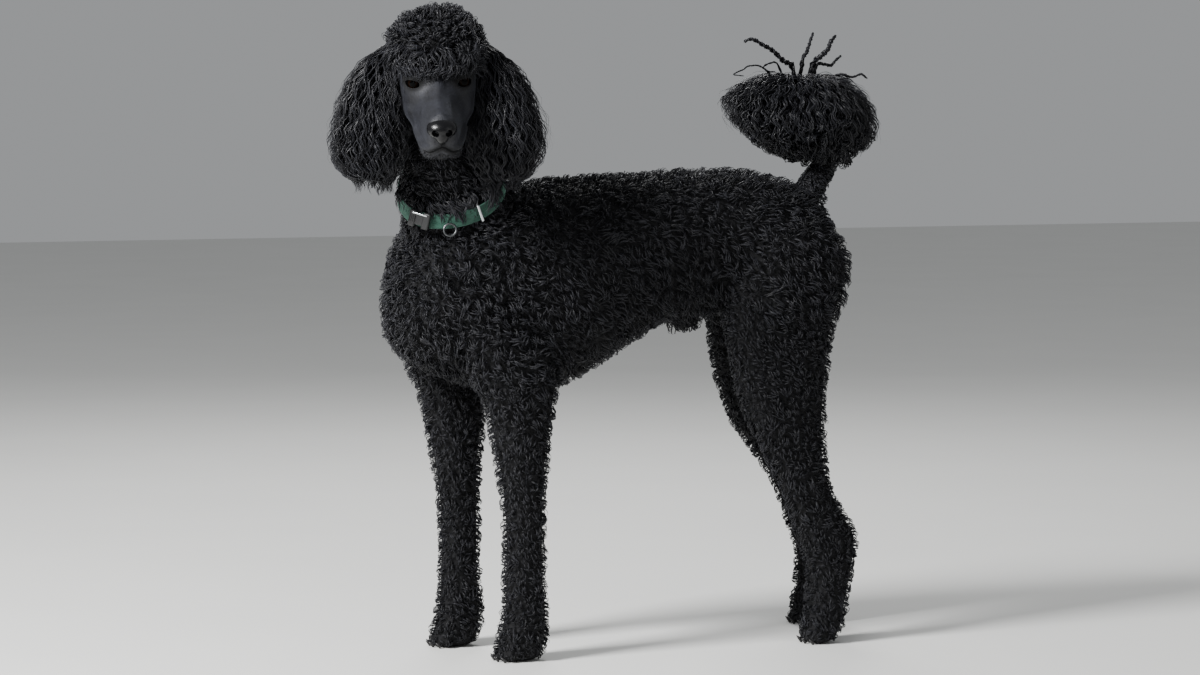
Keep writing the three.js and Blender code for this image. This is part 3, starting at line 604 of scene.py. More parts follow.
# The face's tone goes near black where the rim is 1: bare skin of the lids and lips, and round the eyes
# painted shade as well.
satin.cover(satin.mixed(rim_and_painted_shade, tone, BARE_SKIN_AND_PAINTED_SHADE), 0.42 + nap * 0.25 + rim_and_painted_shade * 0.4, nap, 0.0007, 0.7)
wool = Finish("packed undercoat", Specular_IOR_Level=0.2)
felt = wool.cells(170, "SMOOTH_F1")
# Darker towards the edges of the cells, where the bump is lowest: painted shade in the hollows between
# the lumps of wool.
tone = wool.mixed(felt * 1.6, (0.009, 0.009, 0.0105), (0.0025, 0.0025, 0.003))
wool.cover(tone, 0.8, 1 - felt, 0.004)

# The rim is 1 on the bare lids and lips. Round the eyes it is also painted shade, reaching past the lids
# and up the brow.
at = in_frame(head_frame.inverted(), read(skin_mesh.vertices, "co", np.float32, 3))
at[:, 1] = np.abs(at[:, 1])
from_eye = np.linalg.norm((at - EYE_PLACE - EYE_RIM_AND_PAINTED_SHADE["off"]) * EYE_RIM_AND_PAINTED_SHADE["squeeze"], axis=1)
edge = np.concatenate([rows_down(MOUTH, 40), rows_down(PHILTRUM, 8)])
from_lip = np.min([np.linalg.norm(at - point, axis=1) for point in edge], axis=0)
by_eye_with_painted_shade, by_lip = 1 - smooth(from_eye, *EYE_RIM_AND_PAINTED_SHADE["fades"]), 1 - smooth(from_lip, *LIP_RIM["fades"])
bare_and_shaded = skin_mesh.attributes.new("rim_and_painted_shade", "FLOAT", "POINT")
bare_and_shaded.data.foreach_set("value", np.maximum(by_eye_with_painted_shade, LIP_RIM["share"] * by_lip))


# The coat: tight curls about a finger's width across, combed loosely down and back. Neighbouring hairs
# gather into the same ringlet. The chest's are the largest. They are shorter low on the legs and
# shortest on the toes, and the collar presses them flat, with a ruff above it, behind and ahead.
PATCH = 0.003
PIECE_FACES = 190000
BODY_LIE = np.array((0.55, 0, -0.84))
LEG_LIE = np.array((0.1, 0, -1))
LIE_TURNS = (240, 400)
# Height, length, coil and width are in mm; gather is hairs to a lock, and each is mm2 to a hair.
CURL = dict(high=9.5, long=11, coil=2.4, turns=0.62, wide=1.0, gather=7, hold=0.5, stray=0.35)
CURL.update(rings=4, sink=1, over=0.7, each=24)
LEG_CURL = dict(CURL, high=7.2, long=8, coil=1.8, gather=6, over=0.8, each=20)
CHEST_CURL = dict(CURL, high=10.5, coil=2.7, turns=0.9, gather=6, hold=0.68, stray=0.4)
CHEST_CURL.update(rings=5, each=20.5)
STALK_CURL = dict(CURL, high=3, long=7, coil=1.3, turns=0.8, wide=1.3, gather=3, hold=0.3)
STALK_CURL.update(stray=0.3, each=10)
RUFF = dict(CURL, high=20, long=34, coil=2.6, turns=1.2, wide=1.2, gather=8, hold=0.4)
RUFF.update(stray=0.25, rings=6, each=4.5)
RUFF_AHEAD = dict(RUFF, high=13, long=25, each=6)
COLLAR = dict(middle=(-232, -30, 626), fall=(0.4, 0.78), wide=19, presses=(6, 9), over=520)
rng = np.random.default_rng(7)
BILLOW_LONG = 60
BILLOW = rng.normal(size=(9, 3)) * 2 * math.pi / BILLOW_LONG
fall = np.append(-np.array(COLLAR["fall"]), 1.0)
collar_plane = np.append(fall, -fall @ COLLAR["middle"]) / np.linalg.norm(fall)


def above_collar(place):
    return place @ collar_plane[:3] + collar_plane[3]


def unit(vectors):
    return vectors / np.maximum(np.linalg.norm(vectors, axis=-1, keepdims=True), 1e-9)


class Ground:
    """A skin that hair grows from: its triangles, with where each corner is, there and unwrapped."""

    def __init__(self, mesh):
        mesh.calc_loop_triangles()
        corners = read(mesh.loop_triangles, "vertices", np.int32, 3)
        loops = read(mesh.loop_triangles, "loops", np.int32, 3)
        self.place = read(mesh.vertices, "co", np.float32, 3)[corners].astype(float)
        self.normal = read(mesh.vertices, "normal", np.float32, 3)[corners].astype(float)
        self.unwrap = read(mesh.uv_layers["OFBake"].uv, "vector", np.float32, 2)[loops].astype(float)
        self.polygon = read(mesh.loop_triangles, "polygon_index", np.int32, 1)
        self.middle = self.place.mean(1)
        side = self.place[:, 1:] - self.place[:, :1]
        self.area = np.linalg.norm(np.cross(side[:, 0], side[:, 1]), axis=1) / 2

    def roots(self, count, density):
        """Places spread evenly by density: each with its normal and its place on the unwrap."""
        filled = np.cumsum(self.area * density)
        spots = (np.arange(count) + rng.random(count)) * filled[-1] / count
        chosen = np.minimum(np.searchsorted(filled, spots), len(filled) - 1)
        a, b = rng.random((2, count))
        folded = a + b > 1
        a, b = np.where(folded, 1 - a, a), np.where(folded, 1 - b, b)
        weight = np.stack([1 - a - b, a, b], -1)[..., None]
        corners = (self.place, self.normal, self.unwrap)
        place, normal, unwrap = ((corner[chosen] * weight).sum(1) for corner in corners)
        return place, unit(normal), unwrap

    def nearest(self, places):
        """The unwrapped place of the skin nearest to each of these places."""
        tree = tree_of(self.middle)
        return np.array([self.unwrap[tree.find(place)[1]].mean(0) for place in places])


def tree_of(points):
    tree = KDTree(len(points))
    for i, point in enumerate(points):
        tree.insert(point, i)
    tree.balance()
    return tree


def hair(path, side, width, unwrap, shade, thick=0.45):
    """A mesh of flat, three-sided tufts that taper to a point. Each has a path and a direction that
    its ridge faces, at every ring and then at its tip."""
    count, stops = path.shape[:2]
    rings = stops - 1
    along = unit(np.gradient(path, axis=1))[:, :rings]
    side = unit(side[:, :rings] - (side[:, :rings] * along).sum(-1, keepdims=True) * along)
    other = np.cross(along, side)
    turn = 2 * np.pi * np.arange(3) / 3
    flat, broad = (thick * np.cos(turn))[:, None], np.sin(turn)[:, None]
    outline = side[:, :, None] * flat + other[:, :, None] * broad
    sides = path[:, :rings, None] + outline * width[:, :rings, None, None]
    points = np.concatenate([sides.reshape(count, rings * 3, 3), path[:, rings:]], 1)
    k, j = np.meshgrid(np.arange(rings - 1), np.arange(3), indexing="ij")
    near, beside = (3 * k + j).ravel(), (3 * k + (j + 1) % 3).ravel()
    quads = np.stack([near, beside, beside + 3, near + 3], -1)
    last = 3 * (rings - 1)
    tips = np.stack([last + np.arange(3), last + (np.arange(3) + 1) % 3, np.full(3, 3 * rings)], -1)
    tips = np.concatenate([tips, [[0, 2, 1]]])
    each = points.shape[1]
    start = each * np.arange(count)[:, None, None]
    loops = np.concatenate([(quads + start).reshape(-1), (tips + start).reshape(-1)])
    sizes = np.repeat([4, 3], [count * len(quads), count * len(tips)])
    mesh = bpy.data.meshes.new("hair")
    mesh.vertices.add(count * each)
    mesh.vertices.foreach_set("co", points.ravel())
    mesh.loops.add(len(loops))
    mesh.loops.foreach_set("vertex_index", loops)
    mesh.polygons.add(len(sizes))
    mesh.polygons.foreach_set("loop_start", np.concatenate([[0], np.cumsum(sizes)[:-1]]))
    mesh.polygons.foreach_set("use_smooth", np.ones(len(sizes), bool))
    share = np.append(np.repeat(np.arange(rings), 3), rings) / rings
    aside = np.append(np.tile(np.arange(3), rings), 1) / 2
    spot = np.stack([aside - 0.5, share - 0.5], -1) * PATCH
    place = (unwrap[:, None] + spot).reshape(-1, 2)
    mesh.uv_layers.new(name="OFBake").uv.foreach_set("vector", place[loops].ravel())
    across = np.append(np.tile((0.5, 1, 0), rings), 0.5)
    values = {"tip": np.tile(share, count), "across": np.tile(across, count)}
    values["shade"] = shade.repeat(each)
    for name, value in values.items():
        mesh.attributes.new(name, "FLOAT", "POINT").data.foreach_set("value", value)
    mesh.update(calc_edges=True)
    return mesh


def curls(roots, lie, style, length, flat):
    """Hairs that rise from the skin, then lie over and coil, in small locks that hold together."""
    place, normal, unwrap = roots
    count, rings = len(place), style["rings"]
    leaders = rng.permutation(count)[: max(1, count // style["gather"])]
    tree = tree_of(place[leaders])
    own = leaders[[tree.find(point)[1] for point in place]]
    waves = (spot @ BILLOW.T + np.arange(len(BILLOW)) for spot in (place, place[:, ::-1]))
    swell, swirl = (2 * np.sin(wave).mean(1) for wave in waves)
    length = length * (0.85 + 0.3 * rng.random(count)) * (1 + 0.2 * swell)
    lie = unit(lie - (lie * normal).sum(-1, keepdims=True) * normal)
    lie = lie + 0.6 * swirl[:, None] * np.cross(lie, normal)
    lean = unit(lie + style["stray"] * rng.normal(size=(count, 3)))[own]
    lean = lean + 0.2 * rng.normal(size=(count, 3))
    lean = unit(lean - (lean * normal).sum(-1, keepdims=True) * normal)
    across = np.cross(lean, normal)
    t = np.linspace(0, 1, rings + 1)
    turns = style["turns"] * (0.8 + 0.4 * rng.random(count))[own]
    turns = turns * np.where(rng.random(count) < 0.5, 1, -1)[own]
    phase = (2 * np.pi * rng.random(count))[own] + 0.5 * rng.normal(size=count)
    angle = phase[:, None] + 2 * np.pi * turns[:, None] * t
    coil = style["coil"] * (0.75 + 0.5 * rng.random(count))[own] * (1 - 0.6 * flat) * np.sqrt(length)
    radius = coil[:, None] * smooth(t, 0, 0.35) * (1 - 0.2 * t)
    radial = across[:, None] * np.cos(angle)[..., None] + normal[:, None] * np.sin(angle)[..., None]
    high, long = style["high"] * length * (1 - 0.75 * flat), style["long"] * length
    rise, reach = high[:, None] * np.sin(style["over"] * np.pi * t), long[:, None] * t**1.5
    path = (place - style["sink"] * normal)[:, None] + normal[:, None] * rise[..., None]
    path = path + lean[:, None] * reach[..., None]
    path += radial * radius[..., None]
    path += (place[own] - place)[:, None] * (style["hold"] * smooth(t, 0.1, 0.9))[:, None]
    taper = np.interp(t, (0, 0.2, 0.7, 1), (0.8, 1, 0.8, 0.2))
    width = style["wide"] * (0.8 + 0.4 * rng.random(count))[:, None] * taper
    shade = 0.6 * rng.random(count)[own] + 0.4 * rng.random(count)
    return hair(path, normal[:, None] + 0.8 * radial, width, unwrap, shade)


def coat_finish(name, deep, light, roughness, sheen):
    """Black hair that is lighter towards its tip, in some hairs more than in others. The darkening
    towards the root is painted shade down in the coat.
    """
    finish = Finish(name, Specular_IOR_Level=0.3, Sheen_Weight=sheen, Sheen_Roughness=0.4)
    finish.feed(finish.shader.inputs["Sheen Tint"], (0.75, 0.8, 1, 1))
    shade, tip, fine = finish.attribute("shade"), finish.attribute("tip"), finish.strands()
    # The tip term is painted shade: each hair darkens towards its root, deep in the coat. The random tone
    # per hair, the patches and the strands are the hair's own.
    share = tip * 0.6 + shade * 0.35 + finish.noise(9, 3) * 0.3 + fine * 0.7 - 0.58
    tone = finish.mixed(share, deep, light)
    return finish.cover(tone, roughness + shade * 0.15, fine, 0.0006, 0.7)


# Deep is the root's colour and light the tip's; the step between them is painted shade in the coat.
CURL_DEEP, CURL_LIGHT = (0.0013, 0.0013, 0.0018), (0.0195, 0.0195, 0.0245)
curl_finish = coat_finish("black curls", CURL_DEEP, CURL_LIGHT, 0.42, 0.04)


def coat(name, where, node, lie, style, finish=curl_finish):
    """Hair over the part of the skin where a mask is 1, in pieces small enough for the export."""
    count = int((ground.area * where).sum() / style["each"])
    place, normal, unwrap = ground.roots(count, where)
    low = place[:, 2]
    pressed = 1 - smooth(np.abs(above_collar(place)), *COLLAR["presses"])
    flat = pressed * (low > COLLAR["over"])
    length = 0.45 + 0.45 * smooth(low, 4, 30) + 0.1 * smooth(low, 60, 330)
    pieces = math.ceil(count * (6 * style["rings"] - 2) / PIECE_FACES)
    for i, part in enumerate(np.array_split(np.arange(count), pieces)):
        roots = (place[part], normal[part], unwrap[part])
        mesh = curls(roots, lie(place[part], normal[part]), style, length[part], flat[part])
        add_piece(f"{name}_{i + 1}" if pieces > 1 else name, mesh, finish, node)


def lie_of_body(place, normal):
    return LEG_LIE + (BODY_LIE - LEG_LIE) * smooth(place[:, 2:], *LIE_TURNS)


ground = Ground(skin_mesh)
nodes = ["head", "neck", "torso", "tail_root", "ear_left", "ear_right", "tail_pom"]
add_piece("skin", skin_mesh, satin.material, *nodes, *(name for name, *_ in LEGS))
x, y, z = ground.middle.T
on_head = in_frame(head_frame.inverted(), ground.middle)
ahead, aside, _ = in_frame(level_head.inverted(), ground.middle).T
from_dome = np.linalg.norm((on_head - TOPKNOT["place"]) / crown_size, axis=1)
is_dome = (np.abs(from_dome - 1) < 0.06) & (on_head[:, 2] > 0)
is_ear = (np.abs(aside) > 58) & (np.abs(ahead) < 62) & (z > 636) & (z < 822)
is_pom = (x > 180) & (z > 668)
is_stalk = (x > 280) & (z > 612) & ~is_pom
is_face = (np.arange(len(x)) >= body_faces) & (on_head[:, 0] > -34)
is_curly = ~(is_dome | is_ear | is_pom | is_stalk | is_face) & (z > 5)
is_neck = (x < -150) & (z - 600 > 0.6 * (x + 200))
is_fore = (x < -60) & (z < 365)
is_hind = (x > 110) & (z < 440)
is_torso = ~(is_neck | is_fore | is_hind)
skin_mesh.materials.append(wool.material)
clad = np.zeros(len(skin_mesh.polygons), np.int32)
clad[ground.polygon[~is_face]] = 1
skin_mesh.polygons.foreach_set("material_index", clad)

coat("curls_neck", is_curly & is_neck, "neck", lie_of_body, dict(CURL, each=17))
is_chest = is_torso & (x + 30 * rng.random(len(x)) < -105) & (z > 300)
coat("curls_chest", is_curly & is_chest, "torso", lie_of_body, CHEST_CURL)
coat("curls_body", is_curly & is_torso & ~is_chest, "torso", lie_of_body, CURL)
for side, mask in (("left", y < 0), ("right", y > 0)):
    mask = mask & is_curly
    coat(f"curls_fore_{side}", mask & is_fore, f"front_leg_{side}", lie_of_body, LEG_CURL)
    coat(f"curls_hind_{side}", mask & is_hind, f"hind_leg_{side}", lie_of_body, LEG_CURL)
above = above_collar(ground.middle)
is_ruff = is_curly & (x < -125) & (z > 560) & (above > 10) & (above < 30)
by_mane = (x > -200) & (y < -10)
coat("ruff_behind", is_ruff & by_mane, "neck", lie_of_body, RUFF)
coat("ruff_ahead", is_ruff & ~by_mane & (above < 20), "neck", lie_of_body, RUFF_AHEAD)
coat("tail_stalk_hair", is_stalk, "tail_root", lie_of_body, STALK_CURL)

# Topknot: larger, looser ringlets that stand up off the skull all round. In front they are a fringe of
# longer ones, which hangs over the brows and shades the eyes.
TOPKNOT_CURL = dict(CURL, high=12, long=8, coil=3.4, turns=1.05, wide=1.05, gather=6, stray=2)
TOPKNOT_CURL.update(rings=7, sink=1.5, each=12)
FRINGE_CURL = dict(CURL, high=13, long=27, coil=4.4, turns=1.15, wide=1.1, gather=8, hold=0.55)
FRINGE_CURL.update(stray=0.5, rings=8, sink=1.5, each=8)
FRINGE = dict(ahead=12, low=30, high=64)
head_to_dog = np.array(head_frame)[:3, :3].T


def lie_of_topknot(place, normal):
    at = in_frame(head_frame.inverted(), place)
    front = smooth(at[:, :1], 10, 40) * (1 - smooth(at[:, 2:], 45, 70))
    outward = unit((at - TOPKNOT["place"]) * (1, 1, 0) + 1e-6)
    downward = unit(outward * 0.9 + (0.9, 0, 0) - np.array((0, 0, 0.8)))
    return (outward * (1 - front) + downward * front) @ head_to_dog


forward, _, up = on_head.T
in_front = is_dome & (forward > FRINGE["ahead"]) & (up < FRINGE["high"])
coat("topknot", is_dome & ~in_front, "head", lie_of_topknot, TOPKNOT_CURL)
coat("fringe", in_front & (up > FRINGE["low"]), "head", lie_of_topknot, FRINGE_CURL)

# Hair of the clipped face: a nap a few millimetres long, which lies back from the nose and leaves the
# lids bare, and short curls under the lips and on the chin.
CHIN_CURL = dict(CURL, high=1.6, long=5, coil=0.9, turns=0.8, wide=0.4, gather=4, hold=0.4)
CHIN_CURL.update(stray=0.5, sink=0.5, each=5)
CHIN = dict(ahead=84, below=-76, slope=0.2)
FACE_NAP = dict(CURL, high=0.5, long=3.8, coil=0.2, turns=0.3, wide=0.24, gather=1, hold=0)
FACE_NAP.update(stray=0.15, rings=3, sink=0.4, each=17)
FACE_LIE = (-1, 0, -0.25)
FACE_TOP = 60
LID_BARE = 15
# As with the curls, the darker root colour is painted shade deep in the hair.
NAP_DEEP, NAP_LIGHT = (0.006, 0.0062, 0.008), (0.026, 0.027, 0.034)
nap_finish = coat_finish("clipped black nap", NAP_DEEP, NAP_LIGHT, 0.45, 0.08)


def lie_of_face(place, normal):
    return np.broadcast_to(FACE_LIE, place.shape) @ head_to_dog


under_lip = is_face & (forward > CHIN["ahead"]) & (up < CHIN["slope"] * forward + CHIN["below"])
coat("chin_curls", under_lip, "head", lie_of_face, CHIN_CURL)
off_eye = np.linalg.norm(np.abs(on_head) - EYE_PLACE, axis=1) > LID_BARE
coat("face_nap", is_face & (up < FACE_TOP) & off_eye, "head", lie_of_face, FACE_NAP, nap_finish)


# Ears: each is a flap of leather hidden in long, soft, waved hair. It springs from all down the flap,
# hangs to the jaw and ends in loose points.
EAR_LOCKS = dict(count=1650, rings=11, wide=1.35, wave=3.0, waves=8, bundles=40, flare=0)
EAR_LOCKS.update(starts=(0.0, 0.8), long=0.34, reach=(0.5, 1.04))
EAR_LOW_END = 190
WISPS = dict(share=0.08, wide=0.3, reach=0.25)
# As with the curls, the darker root colour is painted shade deep in the hair.
HAIR_DEEP, HAIR_LIGHT = (0.0012, 0.0012, 0.0017), (0.0135, 0.0135, 0.0175)
hair_finish = coat_finish("long black hair", HAIR_DEEP, HAIR_LIGHT, 0.34, 0.03)


def long_hair(at, style):
    """Waved hairs over a bell: at(share, angle, reach) is a point of it. They start at shares of the
    way down it and run on for a length; neighbours hold together in bundles, which wave as one."""
    count, rings, bundles = style["count"], style["rings"], style["bundles"]
    (first, last), (inner, outer), length = style["starts"], style["reach"], style["long"]
    t = np.linspace(0, 1, rings + 1)
    angle = 2 * np.pi * rng.permutation((np.arange(count) + rng.random(count)) / count)
    start = first + (last - first) * rng.random(count)
    tier = ((start - first) / length * 1.5).astype(int)
    bundle = (angle / (2 * np.pi) * bundles + 0.5 * (tier % 2)).astype(int) % bundles
    middle = (bundle + 0.5 - 0.5 * (tier % 2)) * 2 * np.pi / bundles
    drift = (angle - middle + np.pi) % (2 * np.pi) - np.pi
    own = bundle + bundles * tier
    phase, extra = rng.random((2, own.max() + 1))
    end = start + length * (0.7 + 0.4 * extra[own] + 0.3 * rng.random(count))
    end = np.minimum(end, 1 + 0.1 * extra[own])
    share = start[:, None] + (end - start)[:, None] * t
    wisp = rng.random(count) < WISPS["share"]
    lift = inner + (outer - inner) * (0.4 + 0.6 * rng.random(count) + WISPS["reach"] * wisp)
    lift = inner + (lift - inner)[:, None] * smooth(t, 0, 0.6)
    lift = lift + style["flare"] * (0.3 + extra[own])[:, None] * smooth(t, 0.45, 1)
    turn = 2 * np.pi * (style["waves"] * share + phase[own][:, None])
    turn = turn + 0.5 * rng.normal(size=(count, 1))
    swing = style["wave"] * smooth(t, 0.05, 0.3) * (0.7 + 0.6 * rng.random((count, 1)))
    heading = angle[:, None] - drift[:, None] * 0.6 * smooth(t, 0.2, 1)
    path = at(share, heading, lift)
    out = unit(path - at(share, heading, 0.05))
    beside = unit(np.cross(out, np.gradient(path, axis=1)))
    path = path + beside * (swing * np.sin(turn))[..., None]
    path = path + out * (0.7 * swing * np.cos(turn))[..., None]
    width = style["wide"] * (0.7 + 0.6 * rng.random(count)) * np.where(wisp, WISPS["wide"], 1)
    width = width[:, None] * np.interp(t, (0, 0.5, 1), (1, 0.9, 0.15))
    shade = 0.5 * extra[own] + 0.5 * rng.random(count)
    return hair(path, out, width, ground.nearest(path[:, 0]), shade)


def in_ear(sideways, share, angle, reach):
    point = ear_point(sideways, np.minimum(share, 1), angle, reach)
    point[..., 2] -= EAR_LOW_END * np.maximum(share - 1, 0)
    return point


for sideways, side in ((1, "left"), (-1, "right")):
    mesh = long_hair(partial(in_ear, sideways), EAR_LOCKS)
    add_piece(f"ear_hair_{side}", mesh, hair_finish, f"ear_{side}")

# Tail ball: long waved hair that springs from the top of the tail and falls all round it, over the
# curls of its rim and its underside.
POM_LOCKS = dict(count=1800, rings=10, wide=1.35, wave=3, waves=8, bundles=36, flare=0.04)
POM_LOCKS.update(starts=(0.03, 0.5), long=0.2, reach=(POM["core"], 1.0))
POM_CURL = dict(CURL, high=19, long=14, coil=3.4, turns=0.95, wide=1.3, stray=0.6, rings=6, each=12)
POM_UNDER = 0.1


def in_tail_ball(share, angle, reach):
    fall = share * math.pi
    flat, deep = np.sin(fall), np.cos(fall)
    direction = np.broadcast_arrays(flat * np.cos(angle), flat * np.sin(angle), deep)
    return in_pom(*direction, np.broadcast_to(reach, fall.shape))


def lie_of_pom(place, normal):
    return unit(normal * (1, 1, 0) + 1e-6) * 0.5 - np.array((0, 0, 1.0))


add_piece("tail_hair", long_hair(in_tail_ball, POM_LOCKS), hair_finish, "tail_pom")
is_under = is_pom & (ground.normal[:, 0, 2] < POM_UNDER)
coat("tail_curls", is_under, "tail_pom", lie_of_pom, POM_CURL, hair_finish)

# Cords: a few strands on top of the tail ball that have felted together, each twisted from a handful
# of hairs. They spring from its middle and curve over or stand up.
CORD_SIZES = (4.2, 3.4, 4.2, 3, 2.6, 1.6, 1.4)
CORDS = [  # x, y and z at stops along each
    [(292, 0, 740), (284, -2, 784), (270, -4, 792), (254, -4, 806), (238, -6, 814), (222, -5, 822),
     (210, -4, 818)],
    [(297, 4, 740), (302, 6, 790), (310, 6, 806), (314, 6, 818), (320, 8, 832)],
    [(303, -4, 740), (313, -8, 788), (322, -10, 798), (334, -10, 808), (338, -10, 818), (346, -10, 828)],
    [(308, 4, 738), (326, 12, 784), (340, 14, 788), (350, 14, 786), (358, 14, 794), (366, 14, 800)],
    [(308, -8, 736), (330, -24, 768), (346, -32, 774), (358, -34, 770), (372, -36, 774), (382, -36, 768)],
    [(280, -4, 740), (258, -12, 786), (244, -16, 789), (232, -20, 784), (240, -20, 778), (252, -16, 778)],
    [(276, -6, 738), (236, -20, 780), (212, -24, 786), (198, -26, 780), (184, -28, 774), (200, -28, 772)],
]
CORD = dict(strands=9, wide=1.7, full_size=3.6, pitch=22, rings=30, thick=0.7)
t = np.linspace(0, 1, CORD["rings"] + 1)
paths, sides = [], []
for size, route in zip(CORD_SIZES, CORDS):
    middle = row_at(route, t)
    long = np.linalg.norm(np.diff(middle, axis=0), axis=1).sum()
    along = unit(np.gradient(middle, axis=0))
    beside = unit(np.cross(along, (0, 1, 0.3)))
    other = np.cross(along, beside)
    for strand in range(CORD["strands"]):
        turn = strand / CORD["strands"] + t * long / CORD["pitch"]
        angle = 2 * np.pi * turn + 0.5 * rng.normal()
        out = beside * np.cos(angle)[:, None] + other * np.sin(angle)[:, None]
        radius = size * (0.4 + 0.6 * rng.random()) * (1 - 0.5 * t) * (1 + 0.2 * np.sin(40 * t + strand))
        paths.append(middle + out * radius[:, None])
        sides.append(out)
paths, sides = np.array(paths), np.array(sides)
sizes = np.repeat(CORD_SIZES, CORD["strands"])[:, None] / CORD["full_size"]
width = CORD["wide"] * sizes * np.interp(t, (0, 0.85, 1), (1, 0.8, 0.2))
roots, shade = ground.nearest(paths[:, 0]), rng.random(len(paths))
mesh = hair(paths, sides, width, roots, shade, CORD["thick"])
add_piece("tail_cords", mesh, hair_finish, "tail_pom")


# Nose leather: bare, black and wet, finely pebbled, on the front of the muzzle, with a comma-shaped
# nostril on each side that runs out and back.
NOSE = dict(place=(146, 0, -13), size=(17.5, 19.4, 13.5))
NOSE_FOOT = dict(place=(152, 0, -19), size=(12, 9, 12))
NOSTRIL = dict(place=(160.5, 8.6, -14.5), size=(8.4, 5, 4.8), turn=0.7)
NOSE_VOXEL = 0.8
nose = bmesh.new()
for lump in (NOSE, NOSE_FOOT):
    ball(nose, **lump, within=head_frame)
nose_mesh = moulded("nose", nose, NOSE_VOXEL, 4)
for sideways in (-1, 1):
    nostril = bmesh.new()
    twin(nostril, sideways, **NOSTRIL)
    nose_mesh = cut_from(nose_mesh, nostril)
nose_mesh.shade_smooth()
leather = Finish("nose leather", Specular_IOR_Level=0.32)
tone = leather.mixed(leather.noise(80), (0.0012, 0.0012, 0.0016), (0.0035, 0.0035, 0.0045))
leather.cover(tone, 0.2 + leather.noise(200) * 0.12, leather.cells(900), 0.0003, 0.4)
add_piece("nose_leather", nose_mesh, leather.material, "nose", slot="nose")

# Eyes: dark brown and wet, each a ball behind its lids that looks ahead and a little outwards, with a
# pupil that shows only in strong light.
LOOK = np.array((1, 0.35, 0.05))
IRIS = dict(start=0.8, edge=0.02, colour=(0.005, 0.0021, 0.0011))
PUPIL = dict(start=0.93, edge=0.01, colour=(0.0006, 0.0006, 0.0006))
wet = Finish("wet brown eye", IOR=1.2, Specular_IOR_Level=0.2)
ahead = wet.attribute("ahead")
tone = (0.0012, 0.001, 0.001)
for part in (IRIS, PUPIL):
    steps = {0: ahead, 1: part["start"] - part["edge"], 2: part["start"]}
    inside = wet.node("ShaderNodeMapRange", {"interpolation_type": "SMOOTHSTEP"}, steps)
    tone = wet.mixed(inside, tone, part["colour"])
wet.cover(tone, 0.04 + wet.noise(300) * 0.03)
for sideways, side in ((1, "left"), (-1, "right")):
    eye = bmesh.new()
    place = on_side(EYE_PLACE, sideways)
    globe = dict(u_segments=48, v_segments=32, radius=EYE_RADIUS)
    bmesh.ops.create_uvsphere(eye, **globe, matrix=head_frame @ Matrix.Translation(place))
    eye_mesh = built(eye, "eye")
    gaze = unit(LOOK * (1, sideways, 1)) @ head_to_dog
    points = read(eye_mesh.vertices, "co", np.float32, 3)
    facing = unit(points - np.array(head_frame @ place)) @ gaze
    eye_mesh.attributes.new("ahead", "FLOAT", "POINT").data.foreach_set("value", facing)
    add_piece(f"eyeball_{side}", eye_mesh, wet.material, f"eye_{side}", slot="eye")

# Claws: short black horn, one ahead of each toe. Each is a blunt cone that points forward and down, and
# most of it is hidden in the toe's hair.
CLAW = dict(size=(3, 2.2, 9), off=Vector((1 - TOE["size"][0], 0, -3.5)), turn=math.radians(130))


def grained(name, tones, roughness, spread, depth, scale=500, **constants):
    """A finish with a fine grain, which varies its tone, its roughness and its relief together."""
    finish = Finish(name, **constants)
    grain = finish.noise(scale, 4)
    return finish.cover(finish.mixed(grain, *tones), roughness + grain * spread, grain, depth)


horn = grained("black horn", ((0.008, 0.008, 0.009), (0.035, 0.033, 0.034)), 0.35, 0.2, 0.0002, 400)
for foot, *leg in LEGS:
    claws = bmesh.new()
    for place in toe_places(*leg):
        matrix = Matrix.Translation(place + CLAW["off"]) @ Matrix.Rotation(CLAW["turn"], 4, "Y")
        cone = dict(cap_ends=True, segments=12, radius1=0.2, radius2=1, depth=1)
        cone["matrix"] = matrix @ Matrix.Diagonal((*CLAW["size"], 1))
        bmesh.ops.create_cone(claws, **cone)
    add_piece(f"claws_{foot}", built(claws, "claws"), horn, foot)


# Collar: a band of green webbing, woven in ribs, that hangs slack round the neck on the coat, lower
# in front than at the nape. The hair above it falls over its upper edge.
BAND = dict(thick=2.4, stations=96, sink=3, start=0.6, edge=1.1)
WEAVE = dict(ribs=2300, rows=20)


def under_band(share):
    """A point in the coat of the neck under the band, at this share of the way round from the nape."""
    angle = 2 * math.pi * share
    x, y, z, wide, deep = row_at(NECK, np.arange(0.2, 1, 0.004)).T
    back, side = (deep - BAND["sink"]) * math.cos(angle), (wide - BAND["sink"]) * math.sin(angle)
    points = np.stack([x + back, y + side, z + back * NECK_LEAN], -1)
    level = points @ fall - fall @ COLLAR["middle"]
    first = np.argmax(level >= 0)
    point = Vector(points[first])
    point.z += -level[first]
    return point


def band_frame(share):
    """A frame on the band: +X along it, +Y out from the neck and +Z up."""
    at = under_band(share)
    along = (under_band(share + 0.02) - under_band(share - 0.02)).normalized()
    out = (at - Vector(COLLAR["middle"])) * Vector((1, 1, 0))
    out = (out - out.dot(along) * along).normalized()
    up = along.cross(out)
    up = -up if up.z < 0 else up
    return Matrix.Translation(at) @ Matrix((out.cross(up), out, up)).transposed().to_4x4()


def section(wide, thick, corner):
    """A flat strap's section with rounded edges, as points in its frame."""
    for c, s in around(16):
        across = math.copysign(max(wide / 2 - corner, 0), s) + corner * s
        yield Vector((0, math.copysign(thick / 2 - corner, c) + corner * c + thick / 2, across))


